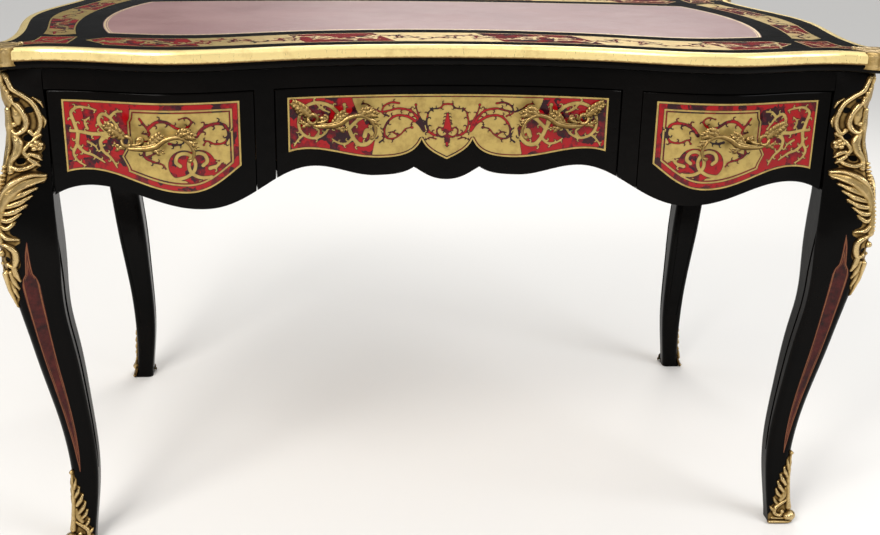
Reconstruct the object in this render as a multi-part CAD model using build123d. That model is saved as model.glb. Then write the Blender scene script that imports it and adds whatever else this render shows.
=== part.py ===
from build123d import *
import os
from math import cos, radians, sin, sqrt

# Louis XV style writing desk (bureau plat): a serpentine top edged in brass, a frieze with three
# serpentine drawers, and four cabriole legs. The back has false drawers.
# Millimetres. Origin on the floor under the middle of the top, +X right, -Y front (drawers), +Z up.

# ---------------------------------------------------------------- the top, seen from above
# Distances from the middle of the desk to the outer edge of the brass moulding.
top_height = 775
front_recess_y = 332          # front edge on the centre line, the deepest point of the recess
front_turn_x = 212            # where the recess turns into the bulge over a side drawer
front_turn_y = 359
front_turn_lean = 16          # degrees that the edge leans there
front_bulge_x = 385
front_bulge_y = 405
front_dip_x = 545
front_dip_y = 375
corner_ear_x = 628            # tip of the ear over a leg, at 45 degrees
corner_ear_y = 386
side_waist_x = 612
side_waist_y = 300
side_bow_x = 648
back_dip_x = 545
back_dip_y = 372
back_bow_y = 405

board_thickness = 18          # the part of the board that the brass moulding edges
moulding_width = 13
moulding_round = 6            # radius of the brass moulding's upper edge
moulding_under_round = 3
moulding_joint_shift = 14     # the joints lie beside the ears' tips, under the clasps
under_board_thickness = 12    # black moulded edge under the brass
under_board_inset = 7
under_board_round = 7
frieze_inset = 20             # from the edge of the top to the face of the frieze

# Leather writing surface, let into the top
leather_thickness = 1.6
leather_front_y = 160         # on the centre line
leather_turn_x = 212
leather_turn_y = 190
leather_bulge_x = 385
leather_bulge_y = 243
leather_corner_x = 485
leather_front_corner_y = 226
leather_end_bow_x = 520
leather_back_corner_y = 205
leather_back_y = 255

# Marquetry band round the leather
marquetry_thickness = 1.2
band_outer_inset = 42         # from the edge of the top
band_inner_gap = 36           # from the leather
front_panel_tip_x = 503       # the long panels end in points
back_panel_tip_x = 500
panel_point = 30
point_spread = 37.5           # half width where a long panel's point begins
side_point_spread = 48
band_front_mid_y = 300
band_back_mid_y = 287
side_panel_tip_y = 252
band_side_mid_x = 552
corner_panel_x = 520
corner_panel_y = 266

# Gilt corner clasps, over the joints of the brass moulding
clasp_radius = 36
clasp_stand = 4               # how far the bronze stands proud of what it covers
clasp_drop = 6                # how far it reaches below the brass moulding
clasp_leaf_width = 17

# ---------------------------------------------------------------- frieze and drawers
frieze_spare = 10             # how far the frieze's block reaches below its lowest corner, to be trimmed
drawer_top = 715              # height of the drawer fronts' upper edge
rail_clearance = 1.5          # between a drawer front and the rail over it
drawer_clearance = 1.2        # between a drawer front and the wood beside it
divider_inner_x = 245
divider_outer_x = 271
divider_back_y = 284
front_rail_inner_y = 262
side_front_back_y = 328       # flat inner face of a side drawer's front
centre_front_back_y = 286     # flat inner face of the centre drawer's front
apron_thickness = 22
drawer_edge_round = 1.6       # the drawer fronts' upper and end edges

# Scalloped lower edge of the front and the back: (distance from the centre line, height)
apron_middle = (0, 578)
apron_cusp = (48, 597)
apron_lobe = (104, 586)
apron_peak = (195, 604)
apron_turn = (262, 580)
apron_low = (337, 554)
apron_rise = (492, 585)
apron_end = (575, 548)

# Scalloped lower edge of the two sides
side_apron_middle = 570
side_apron_peak = (150, 592)
side_apron_end = (330, 548)

# Drawer boxes
box_bottom = 612
box_height = 94
box_board = 10                # thickness of sides and back
box_bottom_board = 6
box_bottom_lift = 9           # from the sides' lower edge to the bottom board
groove_depth = 4
box_side_inset = 9            # from a front's end to the drawer side behind it
side_box_outer_inset = 24
drawer_length = 520           # from a front's inner face to the back of its box
tail_depth = 14               # half-blind dovetails into the front
tail_slope = 6
tail_count = 3
tail_share = 0.6              # share of a tail's spacing that its root fills

runner_thickness = 12
runner_width = 78
guide_width = 20
guide_height = 22
guide_clearance = 1
kicker_clearance = 2
kicker_width = 60
tenon_thickness = 10
tenon_length = 22
tenon_root = 1                # how far an apron's blank reaches into the leg before it is trimmed
tenon_shoulder = 12
tenon_rail_shoulder = 4
outer_runner_reach = 300
groove_width = 1.6
glue_block_places_y = (-150, 150)
glue_block_places_x = (60, 400)
block_size = 20
block_length = 80

screw_radius = 2.2
screw_head_radius = 4.5
screw_head_height = 3
screw_bite = 12               # how far a screw goes into the top
screw_hole_gap = 0.1
screw_places_y = (-200, 210)

# Marquetry panels on the drawer fronts: heights and half-widths
panel_top = 703
centre_panel_half = 227
centre_panel_end_z = 626
centre_panel_middle_z = 608
centre_panel_cusp = (37, 638)
centre_panel_lobe = (96, 612)
centre_panel_step = (200, 629)
side_panel_inner_x = 291
side_panel_outer_x = 530
side_panel_inner_z = 613
side_panel_low = (362, 578)
side_panel_rise = (494, 607)
side_panel_outer_z = 602
end_panel_half = 232          # panel on the side aprons
end_panel_end_z = 606
end_panel_middle_z = 592
end_panel_peak = (150, 613)

# ---------------------------------------------------------------- legs
# The legs stand on a diagonal: every section's arris is at (x, x - leg_offset).
leg_offset = 239
# Each station: height, x of the arris, width, set-back of the two front corners, radius of the arris and
# the inner corner, radius of the two front corners
leg_inner_x = 551             # inner face of the leg beside the frieze
leg_stations = [
    (0, 580, 38, 2, 9, 8),
    (30, 573, 34, 2, 9, 8),
    (70, 570, 36, 2, 10, 8),
    (125, 571, 41, 3, 11, 9),
    (200, 578, 46, 4, 11, 9),
    (280, 592, 55, 6, 12, 9),
    (360, 606, 61, 9, 12, 9),
    (440, 620, 71, 14, 12, 8),
    (510, 629, 80, 24, 12, 6),
    (565, 627, 627 - leg_inner_x, 28, 12, 3),
    (620, 612, 612 - leg_inner_x, 18, 11, 2),
    (680, 602, 602 - leg_inner_x, 9, 10, 2),
    (745, 606, 606 - leg_inner_x, 12, 10, 2),
]
inlay_thickness = 1.2
inlay_centre_share = 0.36     # centre line of a leg panel, as a share of the leg's width from the arris
inlay_half_widths = {440: 9, 360: 8, 280: 7, 200: 5, 125: 1.5}
inlay_tip_z = 508

# Chutes (gilt mounts over the knees): inner edge as (x, height), from the top tip down
chute_stand = 6
chute_edge = [
    (590, 738), (561, 708), (553, 682), (555, 648), (563, 625), (559, 604), (576, 578),
    (594, 540), (598, 508), (607, 482), (603, 458), (611, 416),
]
chute_holes = [(570, 698, 4.5), (570, 664, 5.5), (579, 630, 5), (611, 500, 4)]

# Sabots (gilt mounts over the feet)
sabot_stand = 4
sabot_edge = [(566, 116), (560, 90), (552, 62), (548, 34), (544, 0)]
toe_radius = 9
toe_reach = 8
toe_width = 13

# ---------------------------------------------------------------- pulls
# Drawn as (x, z) about each pull's own middle: a ring at the left, a bow, and leaves.
pull_reach = 15               # from the drawer front to the middle of the pull
pull_ring_place = (-30.5, 6)
pull_ring_radius = 7
pull_ring_rod = 2.6
pull_rod = 2.4
pull_bow = [(-23.9, 3.5), (0, -2), (20, 9), (40, 14), (54, 6), (57, -17)]
pull_bow_radii = [18, 18, 18, 8]
pull_ball_radius = 3.8        # at the end of the bow
pull_leaves = [((-35.5, 11), (-53, 31), 9), ((1, -0.7), (15, 17), 8), ((37, 12.4), (56, 20), 7)]
pull_leaf_thickness = 3.2
pull_posts = [(-16.5, 1.8), (47, 10)]
pull_post_radius = 3.4
pull_post_head = 4.2          # radius of the round head where a post meets the bow
pull_plate_radius = 6.5
pull_plate_thickness = 3
pull_seat = 6                 # how far posts and plates run back, before the curved front trims them
side_pull_x = 409
side_pull_z = 648
centre_pull_x = 162
centre_pull_z = 667

# Worked out from the sizes above
board_bottom = top_height - board_thickness
frieze_top = board_bottom - under_board_thickness
rail_bottom = drawer_top + rail_clearance
box_top = box_bottom + box_height
centre_box_half = divider_inner_x - drawer_clearance - box_side_inset
side_box_x0 = divider_outer_x + drawer_clearance + box_side_inset
side_box_x1 = leg_inner_x - side_box_outer_inset
far = 900                     # past every edge of the desk
probe_width = 0.02            # of the thin strip that reads where the frieze's face is
root_half = sqrt(0.5)


def mirror_x(shape):
    return mirror(shape, about=Plane.YZ)


def mirror_y(shape):
    return mirror(shape, about=Plane.XZ)


def on_corners(shape):
    """The four copies of a front right piece, by corner name."""
    left = mirror_x(shape)
    return {
        "front_right": shape,
        "front_left": left,
        "back_right": mirror_y(shape),
        "back_left": mirror_y(left),
    }


def slab(face, low, high):
    """A plan outline carried up from one height to another."""
    return extrude(Pos(0, 0, low) * face, amount=high - low)


def block(x0, x1, y0, y1, z0, z1):
    """A box by its lowest and highest corners."""
    centre = Pos((x0 + x1) / 2, (y0 + y1) / 2, (z0 + z1) / 2)
    return centre * Box(x1 - x0, y1 - y0, z1 - z0)


def through_y(face_xz, y0, y1):
    """An elevation drawn in X and Z, carried from y0 to y1."""
    return Pos(0, y1, 0) * extrude(Plane.XZ * face_xz, amount=y1 - y0)


def through_x(face_yz, x0, x1):
    """An elevation drawn in Y and Z, carried from x0 to x1."""
    return Pos(x0, 0, 0) * extrude(Plane.YZ * face_yz, amount=x1 - x0)


# ---------------------------------------------------------------- outlines of the top
def top_outline(inset):
    """Plan outline of the top, moved inwards: four splines from ear tip to ear tip."""
    slant = inset * root_half
    lean = radians(front_turn_lean)
    ear = (corner_ear_x - slant, corner_ear_y - slant)
    turn = (front_turn_x + inset * sin(lean), front_turn_y - inset * cos(lean))
    front = Spline(
        (-ear[0], -ear[1]),
        (-front_dip_x, inset - front_dip_y),
        (-front_bulge_x, inset - front_bulge_y),
        (-turn[0], -turn[1]),
        (0, inset - front_recess_y),
        (turn[0], -turn[1]),
        (front_bulge_x, inset - front_bulge_y),
        (front_dip_x, inset - front_dip_y),
        (ear[0], -ear[1]),
        tangents=[
            (1, -1), (1, 0), (1, 0), (cos(lean), sin(lean)), (1, 0),
            (cos(lean), -sin(lean)), (1, 0), (1, 0), (1, 1),
        ],
    )
    right = Spline(
        (ear[0], -ear[1]),
        (side_waist_x - inset, -side_waist_y),
        (side_bow_x - inset, 0),
        (side_waist_x - inset, side_waist_y),
        (ear[0], ear[1]),
        tangents=[(1, 1), (0, 1), (0, 1), (0, 1), (-1, 1)],
    )
    back = Spline(
        (ear[0], ear[1]),
        (back_dip_x, back_dip_y - inset),
        (0, back_bow_y - inset),
        (-back_dip_x, back_dip_y - inset),
        (-ear[0], ear[1]),
        tangents=[(-1, 1), (-1, 0), (-1, 0), (-1, 0), (-1, -1)],
    )
    return make_face([front, right, back, mirror_x(right)])


def leather_outline(grow):
    """Plan outline of the leather, moved outwards by grow."""
    corner_x = leather_corner_x + grow
    front_corner = (corner_x, -leather_front_corner_y - grow)
    back_corner = (corner_x, leather_back_corner_y + grow)
    half_front = Spline(
        (0, -leather_front_y - grow),
        (leather_turn_x, -leather_turn_y - grow),
        (leather_bulge_x, -leather_bulge_y - grow),
        front_corner,
        tangents=[(1, 0), (1, -0.27), (1, 0), (1, 0.3)],
    )
    end = ThreePointArc(front_corner, (leather_end_bow_x + grow, 0), back_corner)
    back = ThreePointArc(back_corner, (0, leather_back_y + grow), (-back_corner[0], back_corner[1]))
    return make_face([half_front, end, back, mirror_x(end), mirror_x(half_front)])


def pointed_zone(half_length, mid, spread):
    """A long zone along X: as wide as can be in its middle, and a point at height mid at each end."""
    body = half_length - panel_point
    deep = band_front_mid_y / 2
    points = [
        (half_length, mid), (body, mid - spread), (body, mid - deep), (-body, mid - deep),
        (-body, mid - spread), (-half_length, mid), (-body, mid + spread), (-body, mid + deep),
        (body, mid + deep), (body, mid + spread),
    ]
    return make_face(Polyline(*points, close=True))


def top_marquetry_panels(depth):
    """The eight panels round the leather, let in to the given depth."""
    band = top_outline(band_outer_inset) - leather_outline(band_inner_gap)
    zones = [
        pointed_zone(front_panel_tip_x, -band_front_mid_y, point_spread),
        pointed_zone(back_panel_tip_x, band_back_mid_y, point_spread),
    ]
    side = Pos(band_side_mid_x, 0) * Rot(0, 0, 90) * pointed_zone(side_panel_tip_y, 0, side_point_spread)
    corner = Pos(corner_panel_x, -corner_panel_y) * Rectangle(far, far, align=(Align.MIN, Align.MAX))
    zones += [side, mirror_x(side)] + list(on_corners(corner).values())
    pieces = []
    for zone in zones:
        faces = (band & zone).faces()
        biggest = sorted(faces, key=lambda face: -face.area)[0]
        pieces.append(slab(biggest, top_height - depth, top_height))
    return pieces


# ---------------------------------------------------------------- outlines of the frieze
def front_scallop():
    """Right half of the front's scalloped lower edge, from the centre line to the leg."""
    middle = Spline(apron_middle, apron_cusp, tangents=[(1, 0), (0.85, 0.5)])
    outer = Spline(
        apron_cusp, apron_lobe, apron_peak, apron_turn, apron_low, apron_rise, apron_end,
        tangents=[(0.8, -0.6), (1, 0), (1, 0), (0.87, -0.5), (1, 0), (1, 0), (0.7, -0.75)],
    )
    return [middle, outer]


def front_elevation():
    """Elevation of the whole front or back in X and Z, with its scalloped lower edge."""
    half = front_scallop()
    top_line = Polyline(apron_end, (far, apron_end[1]), (far, far), (0, far))
    right = half + [top_line]
    return make_face(right + [mirror(edge, about=Plane.YZ) for edge in right])


def side_elevation():
    """Elevation of a side apron in Y and Z."""
    lower = Spline(
        (0, side_apron_middle), side_apron_peak, side_apron_end,
        tangents=[(1, 0), (1, 0), (0.75, -0.6)],
    )
    top_line = Polyline(side_apron_end, (far, side_apron_end[1]), (far, far), (0, far))
    right = [lower, top_line]
    return make_face(right + [mirror(edge, about=Plane.YZ) for edge in right])


def centre_panel_elevation():
    """Marquetry panel of the centre drawer: straight top, lobed lower edge."""
    middle = Spline((0, centre_panel_middle_z), centre_panel_cusp, tangents=[(1, 0.5), (0.4, 1)])
    outer = Spline(
        centre_panel_cusp, centre_panel_lobe, centre_panel_step,
        (centre_panel_half, centre_panel_end_z),
        tangents=[(0.4, -1), (1, 0), (1, 0.05), (1, -0.3)],
    )
    sides = Polyline((centre_panel_half, centre_panel_end_z), (centre_panel_half, panel_top), (0, panel_top))
    right = [middle, outer, sides]
    return make_face(right + [mirror(edge, about=Plane.YZ) for edge in right])


def side_panel_elevation():
    """Marquetry panel of the right drawer, whose lower edge follows the scallop."""
    lower = Spline(
        (side_panel_inner_x, side_panel_inner_z), side_panel_low, side_panel_rise,
        (side_panel_outer_x, side_panel_outer_z),
        tangents=[(1, -0.75), (1, 0), (1, 0.02), (1, -0.35)],
    )
    rest = Polyline(
        (side_panel_outer_x, side_panel_outer_z), (side_panel_outer_x, panel_top),
        (side_panel_inner_x, panel_top), (side_panel_inner_x, side_panel_inner_z),
    )
    return make_face([lower, rest])


def end_panel_elevation():
    """Marquetry panel of a side apron, in Y and Z."""
    lower = Spline(
        (0, end_panel_middle_z), end_panel_peak, (end_panel_half, end_panel_end_z),
        tangents=[(1, 0), (1, 0), (1, -0.3)],
    )
    sides = Polyline((end_panel_half, end_panel_end_z), (end_panel_half, panel_top), (0, panel_top))
    right = [lower, sides]
    return make_face(right + [mirror(edge, about=Plane.YZ) for edge in right])


frieze_plan = top_outline(frieze_inset)
inlay_plan = top_outline(frieze_inset + marquetry_thickness)
apron_inner_plan = top_outline(frieze_inset + apron_thickness)
frieze_body = slab(frieze_plan, apron_end[1] - frieze_spare, frieze_top)
inlay_skin = slab(frieze_plan - inlay_plan, apron_low[1], frieze_top)
front_shape = through_y(front_elevation(), -far, 0)
back_shape = mirror_y(front_shape)


# ---------------------------------------------------------------- legs and their mounts
def leg_section(height, arris_x, width, set_back, arris_radius, edge_radius, grow):
    """A rounded kite: the arris on the diagonal, two set-back corners and the inner corner."""
    out = arris_x + grow
    inner = arris_x - width - grow
    corner = arris_x - set_back + grow
    arris = (out, leg_offset - out)
    points = [
        arris,
        (corner, leg_offset - inner),
        (inner, leg_offset - inner),
        (inner, leg_offset - corner),
    ]
    radii = [arris_radius, edge_radius, arris_radius, edge_radius]
    rounded = FilletPolyline(*points, radius=[radius + grow * 0.5 for radius in radii], close=True)
    return Pos(0, 0, height) * make_face(rounded)


def leg_solid(grow=0):
    """The front right leg, lofted through its stations, with every face moved out by grow."""
    return loft([leg_section(*station, grow) for station in leg_stations])


def both_faces(edge_points):
    """The region outside an edge drawn as (x, z), taken on the leg's front and side faces alike."""
    edge = Spline(*edge_points)
    top = edge_points[0]
    bottom = edge_points[-1]
    rest = Polyline(bottom, (far, bottom[1]), (far, top[1]), top)
    on_front = make_face([edge, rest])
    front_region = through_y(on_front, -far, 0)
    shift = [(x - leg_offset, z) for x, z in edge_points]
    side_edge = Spline(*[(-y, z) for y, z in shift])
    side_rest = Polyline(
        (-shift[-1][0], bottom[1]), (-far, bottom[1]), (-far, top[1]), (-shift[0][0], top[1])
    )
    side_region = through_x(make_face([side_edge, side_rest]), 0, far)
    return front_region & side_region


def leg_panels(skin):
    """Long spear-shaped panels let into the leg's front and side faces."""
    rows = [station for station in leg_stations if station[0] in inlay_half_widths]
    outer = []
    inner = []
    for height, arris_x, width, _, _, _ in rows:
        centre = arris_x - inlay_centre_share * width
        half = inlay_half_widths[height]
        outer.append((centre + half, height))
        inner.append((centre - half, height))
    tip_station = next(station for station in leg_stations if station[0] > rows[-1][0])
    tip = (tip_station[1] - inlay_centre_share * tip_station[2], inlay_tip_z)
    lowest = Polyline(outer[0], inner[0])
    outline = make_face(
        [Spline(*outer), Polyline(outer[-1], tip, inner[-1]), Spline(*inner), lowest]
    )
    front = through_y(outline, -far, -leg_offset / 2) & skin
    side_outline = [(leg_offset - x, z) for x, z in outer]
    side_inner = [(leg_offset - x, z) for x, z in inner]
    side_tip = (leg_offset - tip[0], tip[1])
    side_face = make_face([
        Spline(*side_outline), Polyline(side_outline[-1], side_tip, side_inner[-1]),
        Spline(*side_inner), Polyline(side_outline[0], side_inner[0]),
    ])
    side = through_x(side_face, 0, far) & skin
    pieces = []
    for found in (front, side):
        biggest = sorted(found.solids(), key=lambda solid: -solid.volume)[0]
        pieces.append(biggest)
    return pieces


def build_leg_set(blank):
    """Leg, its marquetry panels, chute and sabot, all for the front right corner."""
    skin = blank - leg_solid(grow=-inlay_thickness)
    panels = leg_panels(skin)
    leg = blank
    for panel in panels:
        leg = leg - panel
    chute = (leg_solid(grow=chute_stand) & both_faces(chute_edge)) - blank
    for x, z, radius in chute_holes:
        chute = chute - Pos(x, -far / 2, z) * Rot(90, 0, 0) * Cylinder(radius, far)
        chute = chute - Pos(far, leg_offset - x, z) * Rot(0, 90, 0) * Cylinder(radius, far)
    sabot = (leg_solid(grow=sabot_stand) & both_faces(sabot_edge)) - blank
    foot_x = leg_stations[0][1] + toe_reach
    toe = Pos(foot_x, leg_offset - foot_x, toe_radius) * Rot(0, 0, -45) * Rot(90, 0, 0)
    sabot = sabot + (toe * Cylinder(toe_radius, toe_width) - blank)
    sabot = sorted(sabot.solids(), key=lambda solid: -solid.volume)[0]
    chute = sorted(chute.solids(), key=lambda solid: -solid.volume)[0]
    return leg, panels, chute, sabot


parts = {}


def keep(name, shape):
    """Holds one node's shape under the node's name."""
    parts[name] = shape


# ---------------------------------------------------------------- the top
def build_top():
    """Board, leather, marquetry and brass edge in four lengths."""
    board = slab(top_outline(moulding_width), board_bottom, top_height)
    under = slab(top_outline(under_board_inset), frieze_top, board_bottom)
    under = fillet(under.faces().sort_by(Axis.Z)[0].edges(), under_board_round)
    board = board + under
    leather = slab(leather_outline(0), top_height - leather_thickness, top_height)
    board = board - leather
    panels = top_marquetry_panels(marquetry_thickness)
    for panel in panels:
        board = board - panel
    ring = slab(top_outline(0), board_bottom, top_height)
    ring = fillet(ring.faces().sort_by(Axis.Z)[-1].edges(), moulding_round)
    ring = fillet(ring.faces().sort_by(Axis.Z)[0].edges(), moulding_under_round)
    ring = ring - slab(top_outline(moulding_width), board_bottom, top_height)
    slope = (corner_ear_y - moulding_joint_shift) / corner_ear_x
    x = far
    y = far * slope
    wedges = {
        "front": [(0, 0), (-x, -y), (x, -y)],
        "back": [(0, 0), (x, y), (-x, y)],
        "right": [(0, 0), (x, -y), (x, y)],
        "left": [(0, 0), (-x, y), (-x, -y)],
    }
    for name, points in wedges.items():
        wedge = slab(make_face(Polyline(*points, close=True)), board_bottom, top_height)
        keep("edge_moulding_" + name, ring & wedge)
    keep("leather_inset", leather)
    keep("top_marquetry", Compound(children=panels))
    return board


def build_clasp(side_y, neighbour):
    """A right corner clasp: it wraps the ear and sends a leaf over the top."""
    ear = Pos(corner_ear_x - clasp_stand, side_y * (corner_ear_y - clasp_stand))
    pad = ear * Circle(clasp_radius)
    leaf = Pos(clasp_radius, 0) * Ellipse(clasp_radius / 2, clasp_leaf_width / 2)
    cover = (pad + ear * Rot(0, 0, -side_y * 135) * leaf) & top_outline(-clasp_stand)
    clasp = slab(cover, board_bottom - clasp_drop, top_height + clasp_stand)
    clasp = clasp - slab(top_outline(under_board_inset), frieze_top, board_bottom)
    clasp = clasp - slab(top_outline(moulding_width), board_bottom, top_height)
    return clasp - parts["edge_moulding_" + neighbour] - parts["edge_moulding_right"]


# ---------------------------------------------------------------- carcase
def frieze_face_y(x, side_y):
    """Where the frieze's face is at x: its front for side_y -1, its back for side_y 1."""
    strip = frieze_plan & Pos(x, side_y * far / 2) * Rectangle(probe_width, far)
    reach = strip.bounding_box()
    return reach.min.Y if side_y < 0 else reach.max.Y


def tenons():
    """One tenon for each end of the rail and the aprons at the front right and back right legs."""
    half = tenon_thickness / 2
    x0 = leg_inner_x - tenon_root
    low = box_bottom + tenon_shoulder
    high = frieze_top - tenon_shoulder
    side_x = side_waist_x - frieze_inset - apron_thickness / 2
    side_y0 = leg_offset - leg_inner_x
    back_y = back_dip_y - frieze_inset - apron_thickness / 2
    rail_y = front_dip_y - frieze_inset - tenon_thickness * 2
    rail_low = rail_bottom + tenon_rail_shoulder
    rail_high = frieze_top - tenon_rail_shoulder
    return {
        "rail": block(x0, leg_inner_x + tenon_length, -rail_y - half, -rail_y + half, rail_low, rail_high),
        "back": block(x0, leg_inner_x + tenon_length, back_y - half, back_y + half, low, high),
        "side": block(
            side_x - half, side_x + half, side_y0 - tenon_length, side_y0 + tenon_root, low, high
        ),
    }


def false_drawer_grooves():
    """Shallow grooves that draw three drawers on the back apron."""
    half = groove_width / 2
    low = apron_low[1] - 1
    uprights = []
    for x in (divider_inner_x, divider_outer_x):
        upright = block(x - half, x + half, 0, far, low, drawer_top + half)
        uprights += [upright, mirror_x(upright)]
    inner_run = block(-divider_inner_x, divider_inner_x, 0, far, drawer_top - half, drawer_top + half)
    outer_run = block(divider_outer_x, leg_inner_x, 0, far, drawer_top - half, drawer_top + half)
    lines = uprights + [inner_run, outer_run, mirror_x(outer_run)]
    return [inlay_skin & line for line in lines]


def build_carcase(leg, leg_blank):
    """Legs with their mortises, rail, dividers and aprons."""
    joint = tenons()
    side_pair = [joint["side"], mirror_y(joint["side"])]
    leg_blanks = on_corners(leg_blank)
    front_leg = leg - joint["rail"] - joint["side"]
    back_leg = mirror_y(leg) - joint["back"] - mirror_y(joint["side"])
    keep("leg_front_right", front_leg)
    keep("leg_front_left", mirror_x(front_leg))
    keep("leg_back_right", back_leg)
    keep("leg_back_left", mirror_x(back_leg))

    reach = leg_inner_x + tenon_root
    rail = frieze_body & block(-reach, reach, -far, -front_rail_inner_y, rail_bottom, frieze_top)
    rail = rail - leg_blanks["front_left"] - leg_blanks["front_right"]
    keep("front_top_rail", rail + joint["rail"] + mirror_x(joint["rail"]))

    divider = frieze_body & front_shape
    divider = divider & block(divider_inner_x, divider_outer_x, -far, -divider_back_y, 0, rail_bottom)
    keep("drawer_divider_right", divider)
    keep("drawer_divider_left", mirror_x(divider))

    shell = frieze_body - slab(apron_inner_plan, 0, far)
    back = shell & back_shape & block(-reach, reach, side_waist_y, far, 0, far)
    back = back - leg_blanks["back_left"] - leg_blanks["back_right"]
    back = back + joint["back"] + mirror_x(joint["back"])
    side_reach = leg_inner_x - leg_offset + tenon_root
    side = shell & block(leg_inner_x, far, -side_reach, side_reach, 0, far)
    side = side & through_x(side_elevation(), 0, far)
    side = side - leg_blanks["front_right"] - leg_blanks["back_right"]
    side = side + side_pair[0] + side_pair[1]

    end_panel = inlay_skin & through_x(end_panel_elevation(), 0, far)
    keep("side_apron_right", side - end_panel)
    keep("side_apron_left", mirror_x(side - end_panel))
    keep("side_marquetry_right", end_panel)
    keep("side_marquetry_left", mirror_x(end_panel))

    right_panel = inlay_skin & mirror_y(through_y(side_panel_elevation(), -far, 0))
    middle_panel = inlay_skin & mirror_y(through_y(centre_panel_elevation(), -far, 0))
    panels = [right_panel, mirror_x(right_panel), middle_panel]
    for cut in panels + false_drawer_grooves():
        back = back - cut
    keep("back_apron", back)
    keep("back_marquetry", Compound(children=[piece for panel in panels for piece in panel.solids()]))


def build_supports():
    """Runners under the drawer boxes, guides beside them, kickers over them, and glue blocks."""
    centre_side = centre_box_half
    inner_side = side_box_x0
    outer_side = side_box_x1
    runner_x = (divider_inner_x + divider_outer_x) / 2
    low = box_bottom - runner_thickness
    room = slab(apron_inner_plan, low, frieze_top)
    inner_runner = block(
        runner_x - runner_width / 2, runner_x + runner_width / 2, -divider_back_y, far, low, box_bottom
    )
    outer_runner = block(
        outer_side - box_board * 2, far, -outer_runner_reach, outer_runner_reach, low, box_bottom
    )
    runners = [inner_runner & room, outer_runner & room]
    keep("drawer_runners", Compound(children=[p for r in runners for p in (r, mirror_x(r))]))

    top_of_guide = box_bottom + guide_height
    inner_guide = block(
        centre_side + guide_clearance, inner_side - guide_clearance,
        -divider_back_y, far, box_bottom, top_of_guide,
    )
    outer_guide = block(
        outer_side + guide_clearance, outer_side + guide_clearance + guide_width,
        -outer_runner_reach, outer_runner_reach, box_bottom, top_of_guide,
    )
    guides = [inner_guide & room, outer_guide & room]
    keep("drawer_guides", Compound(children=[p for g in guides for p in (g, mirror_x(g))]))

    kicker_low = box_top + kicker_clearance
    kickers = []
    for x in (runner_x, outer_side):
        kicker = block(
            x - kicker_width / 2, x + kicker_width / 2, -front_rail_inner_y, far, kicker_low, frieze_top
        )
        if x == outer_side:
            kicker = kicker & block(0, outer_side + guide_width, -far, far, 0, far)
        kickers.append(kicker & room)
    return kickers, room


def build_screws(kickers):
    """Screws up through the kickers into the top, eight in all."""
    low = box_top + kicker_clearance
    screws = []
    holes = []
    runner_x = (divider_inner_x + divider_outer_x) / 2
    for x in (runner_x, side_box_x1):
        for y in screw_places_y:
            head = Pos(x, y, low + screw_head_height / 2) * Cylinder(screw_head_radius, screw_head_height)
            length = frieze_top + screw_bite - low
            shank = Pos(x, y, low + length / 2) * Cylinder(screw_radius, length)
            screws.append(head + shank)
            wide = screw_head_radius + screw_hole_gap
            narrow = screw_radius + screw_hole_gap
            sink = Pos(x, y, low + screw_head_height / 2) * Cylinder(wide, screw_head_height)
            holes.append(sink + Pos(x, y, low + length / 2) * Cylinder(narrow, length))
    return screws, holes


# ---------------------------------------------------------------- drawers
def tails(x0, x1, root_y, depth, low, high):
    """Dovetail tails on the end of a drawer side, reaching depth along Y from root_y."""
    pitch = (high - low) / tail_count
    half = pitch * tail_share / 2
    spread = abs(depth) / tail_slope
    teeth = []
    for index in range(tail_count):
        middle = low + pitch * (index + 0.5)
        points = [
            (root_y, middle - half), (root_y + depth, middle - half - spread),
            (root_y + depth, middle + half + spread), (root_y, middle + half),
        ]
        teeth.append(through_x(make_face(Polyline(*points, close=True)), x0, x1))
    return teeth


def build_drawer(name, blank, panel, x0, x1, front_back_y, pulls):
    """One drawer: a scalloped serpentine front and a dovetailed box from x0 to x1."""
    front_y = -front_back_y
    back_y = front_y + drawer_length
    panel_low = box_bottom + box_bottom_lift
    panel_high = panel_low + box_bottom_board
    bottom = block(
        x0 + box_board - groove_depth, x1 - box_board + groove_depth,
        front_y - groove_depth, back_y, panel_low, panel_high,
    )
    back = block(x0, x1, back_y - box_board, back_y, panel_high, box_top)
    sides = []
    for start in (x0, x1 - box_board):
        side = block(start, start + box_board, front_y, back_y - box_board, box_bottom, box_top)
        for tooth in tails(start, start + box_board, front_y, -tail_depth, box_bottom, box_top):
            side = side + tooth
        for tooth in tails(start, start + box_board, back_y - box_board, box_board, panel_high, box_top):
            side = side + tooth
        sides.append(side - bottom)
    front = blank - panel
    for piece in sides + [bottom]:
        front = front - piece
        back = back - piece
    keep(name + "_drawer_front", front)
    keep(name + "_drawer_sides", Compound(children=sides))
    keep(name + "_drawer_back", back)
    keep(name + "_drawer_bottom", bottom)
    keep(name + "_drawer_marquetry", panel)
    keep(name + "_drawer_pulls", Compound(children=[pull - blank for pull in pulls]))


def softened(blank):
    """A drawer front's block with the edges of its serpentine face rounded, apart from the scalloped one."""
    back_y = blank.bounding_box().max.Y
    rounded = []
    for edge in blank.edges():
        reach = edge.bounding_box()
        on_face = reach.max.Y < back_y - drawer_edge_round
        straight_across = reach.min.Z > drawer_top - drawer_edge_round
        upright = reach.size.X < drawer_edge_round
        if on_face and (straight_across or upright):
            rounded.append(edge)
    return fillet(rounded, drawer_edge_round)


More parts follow.
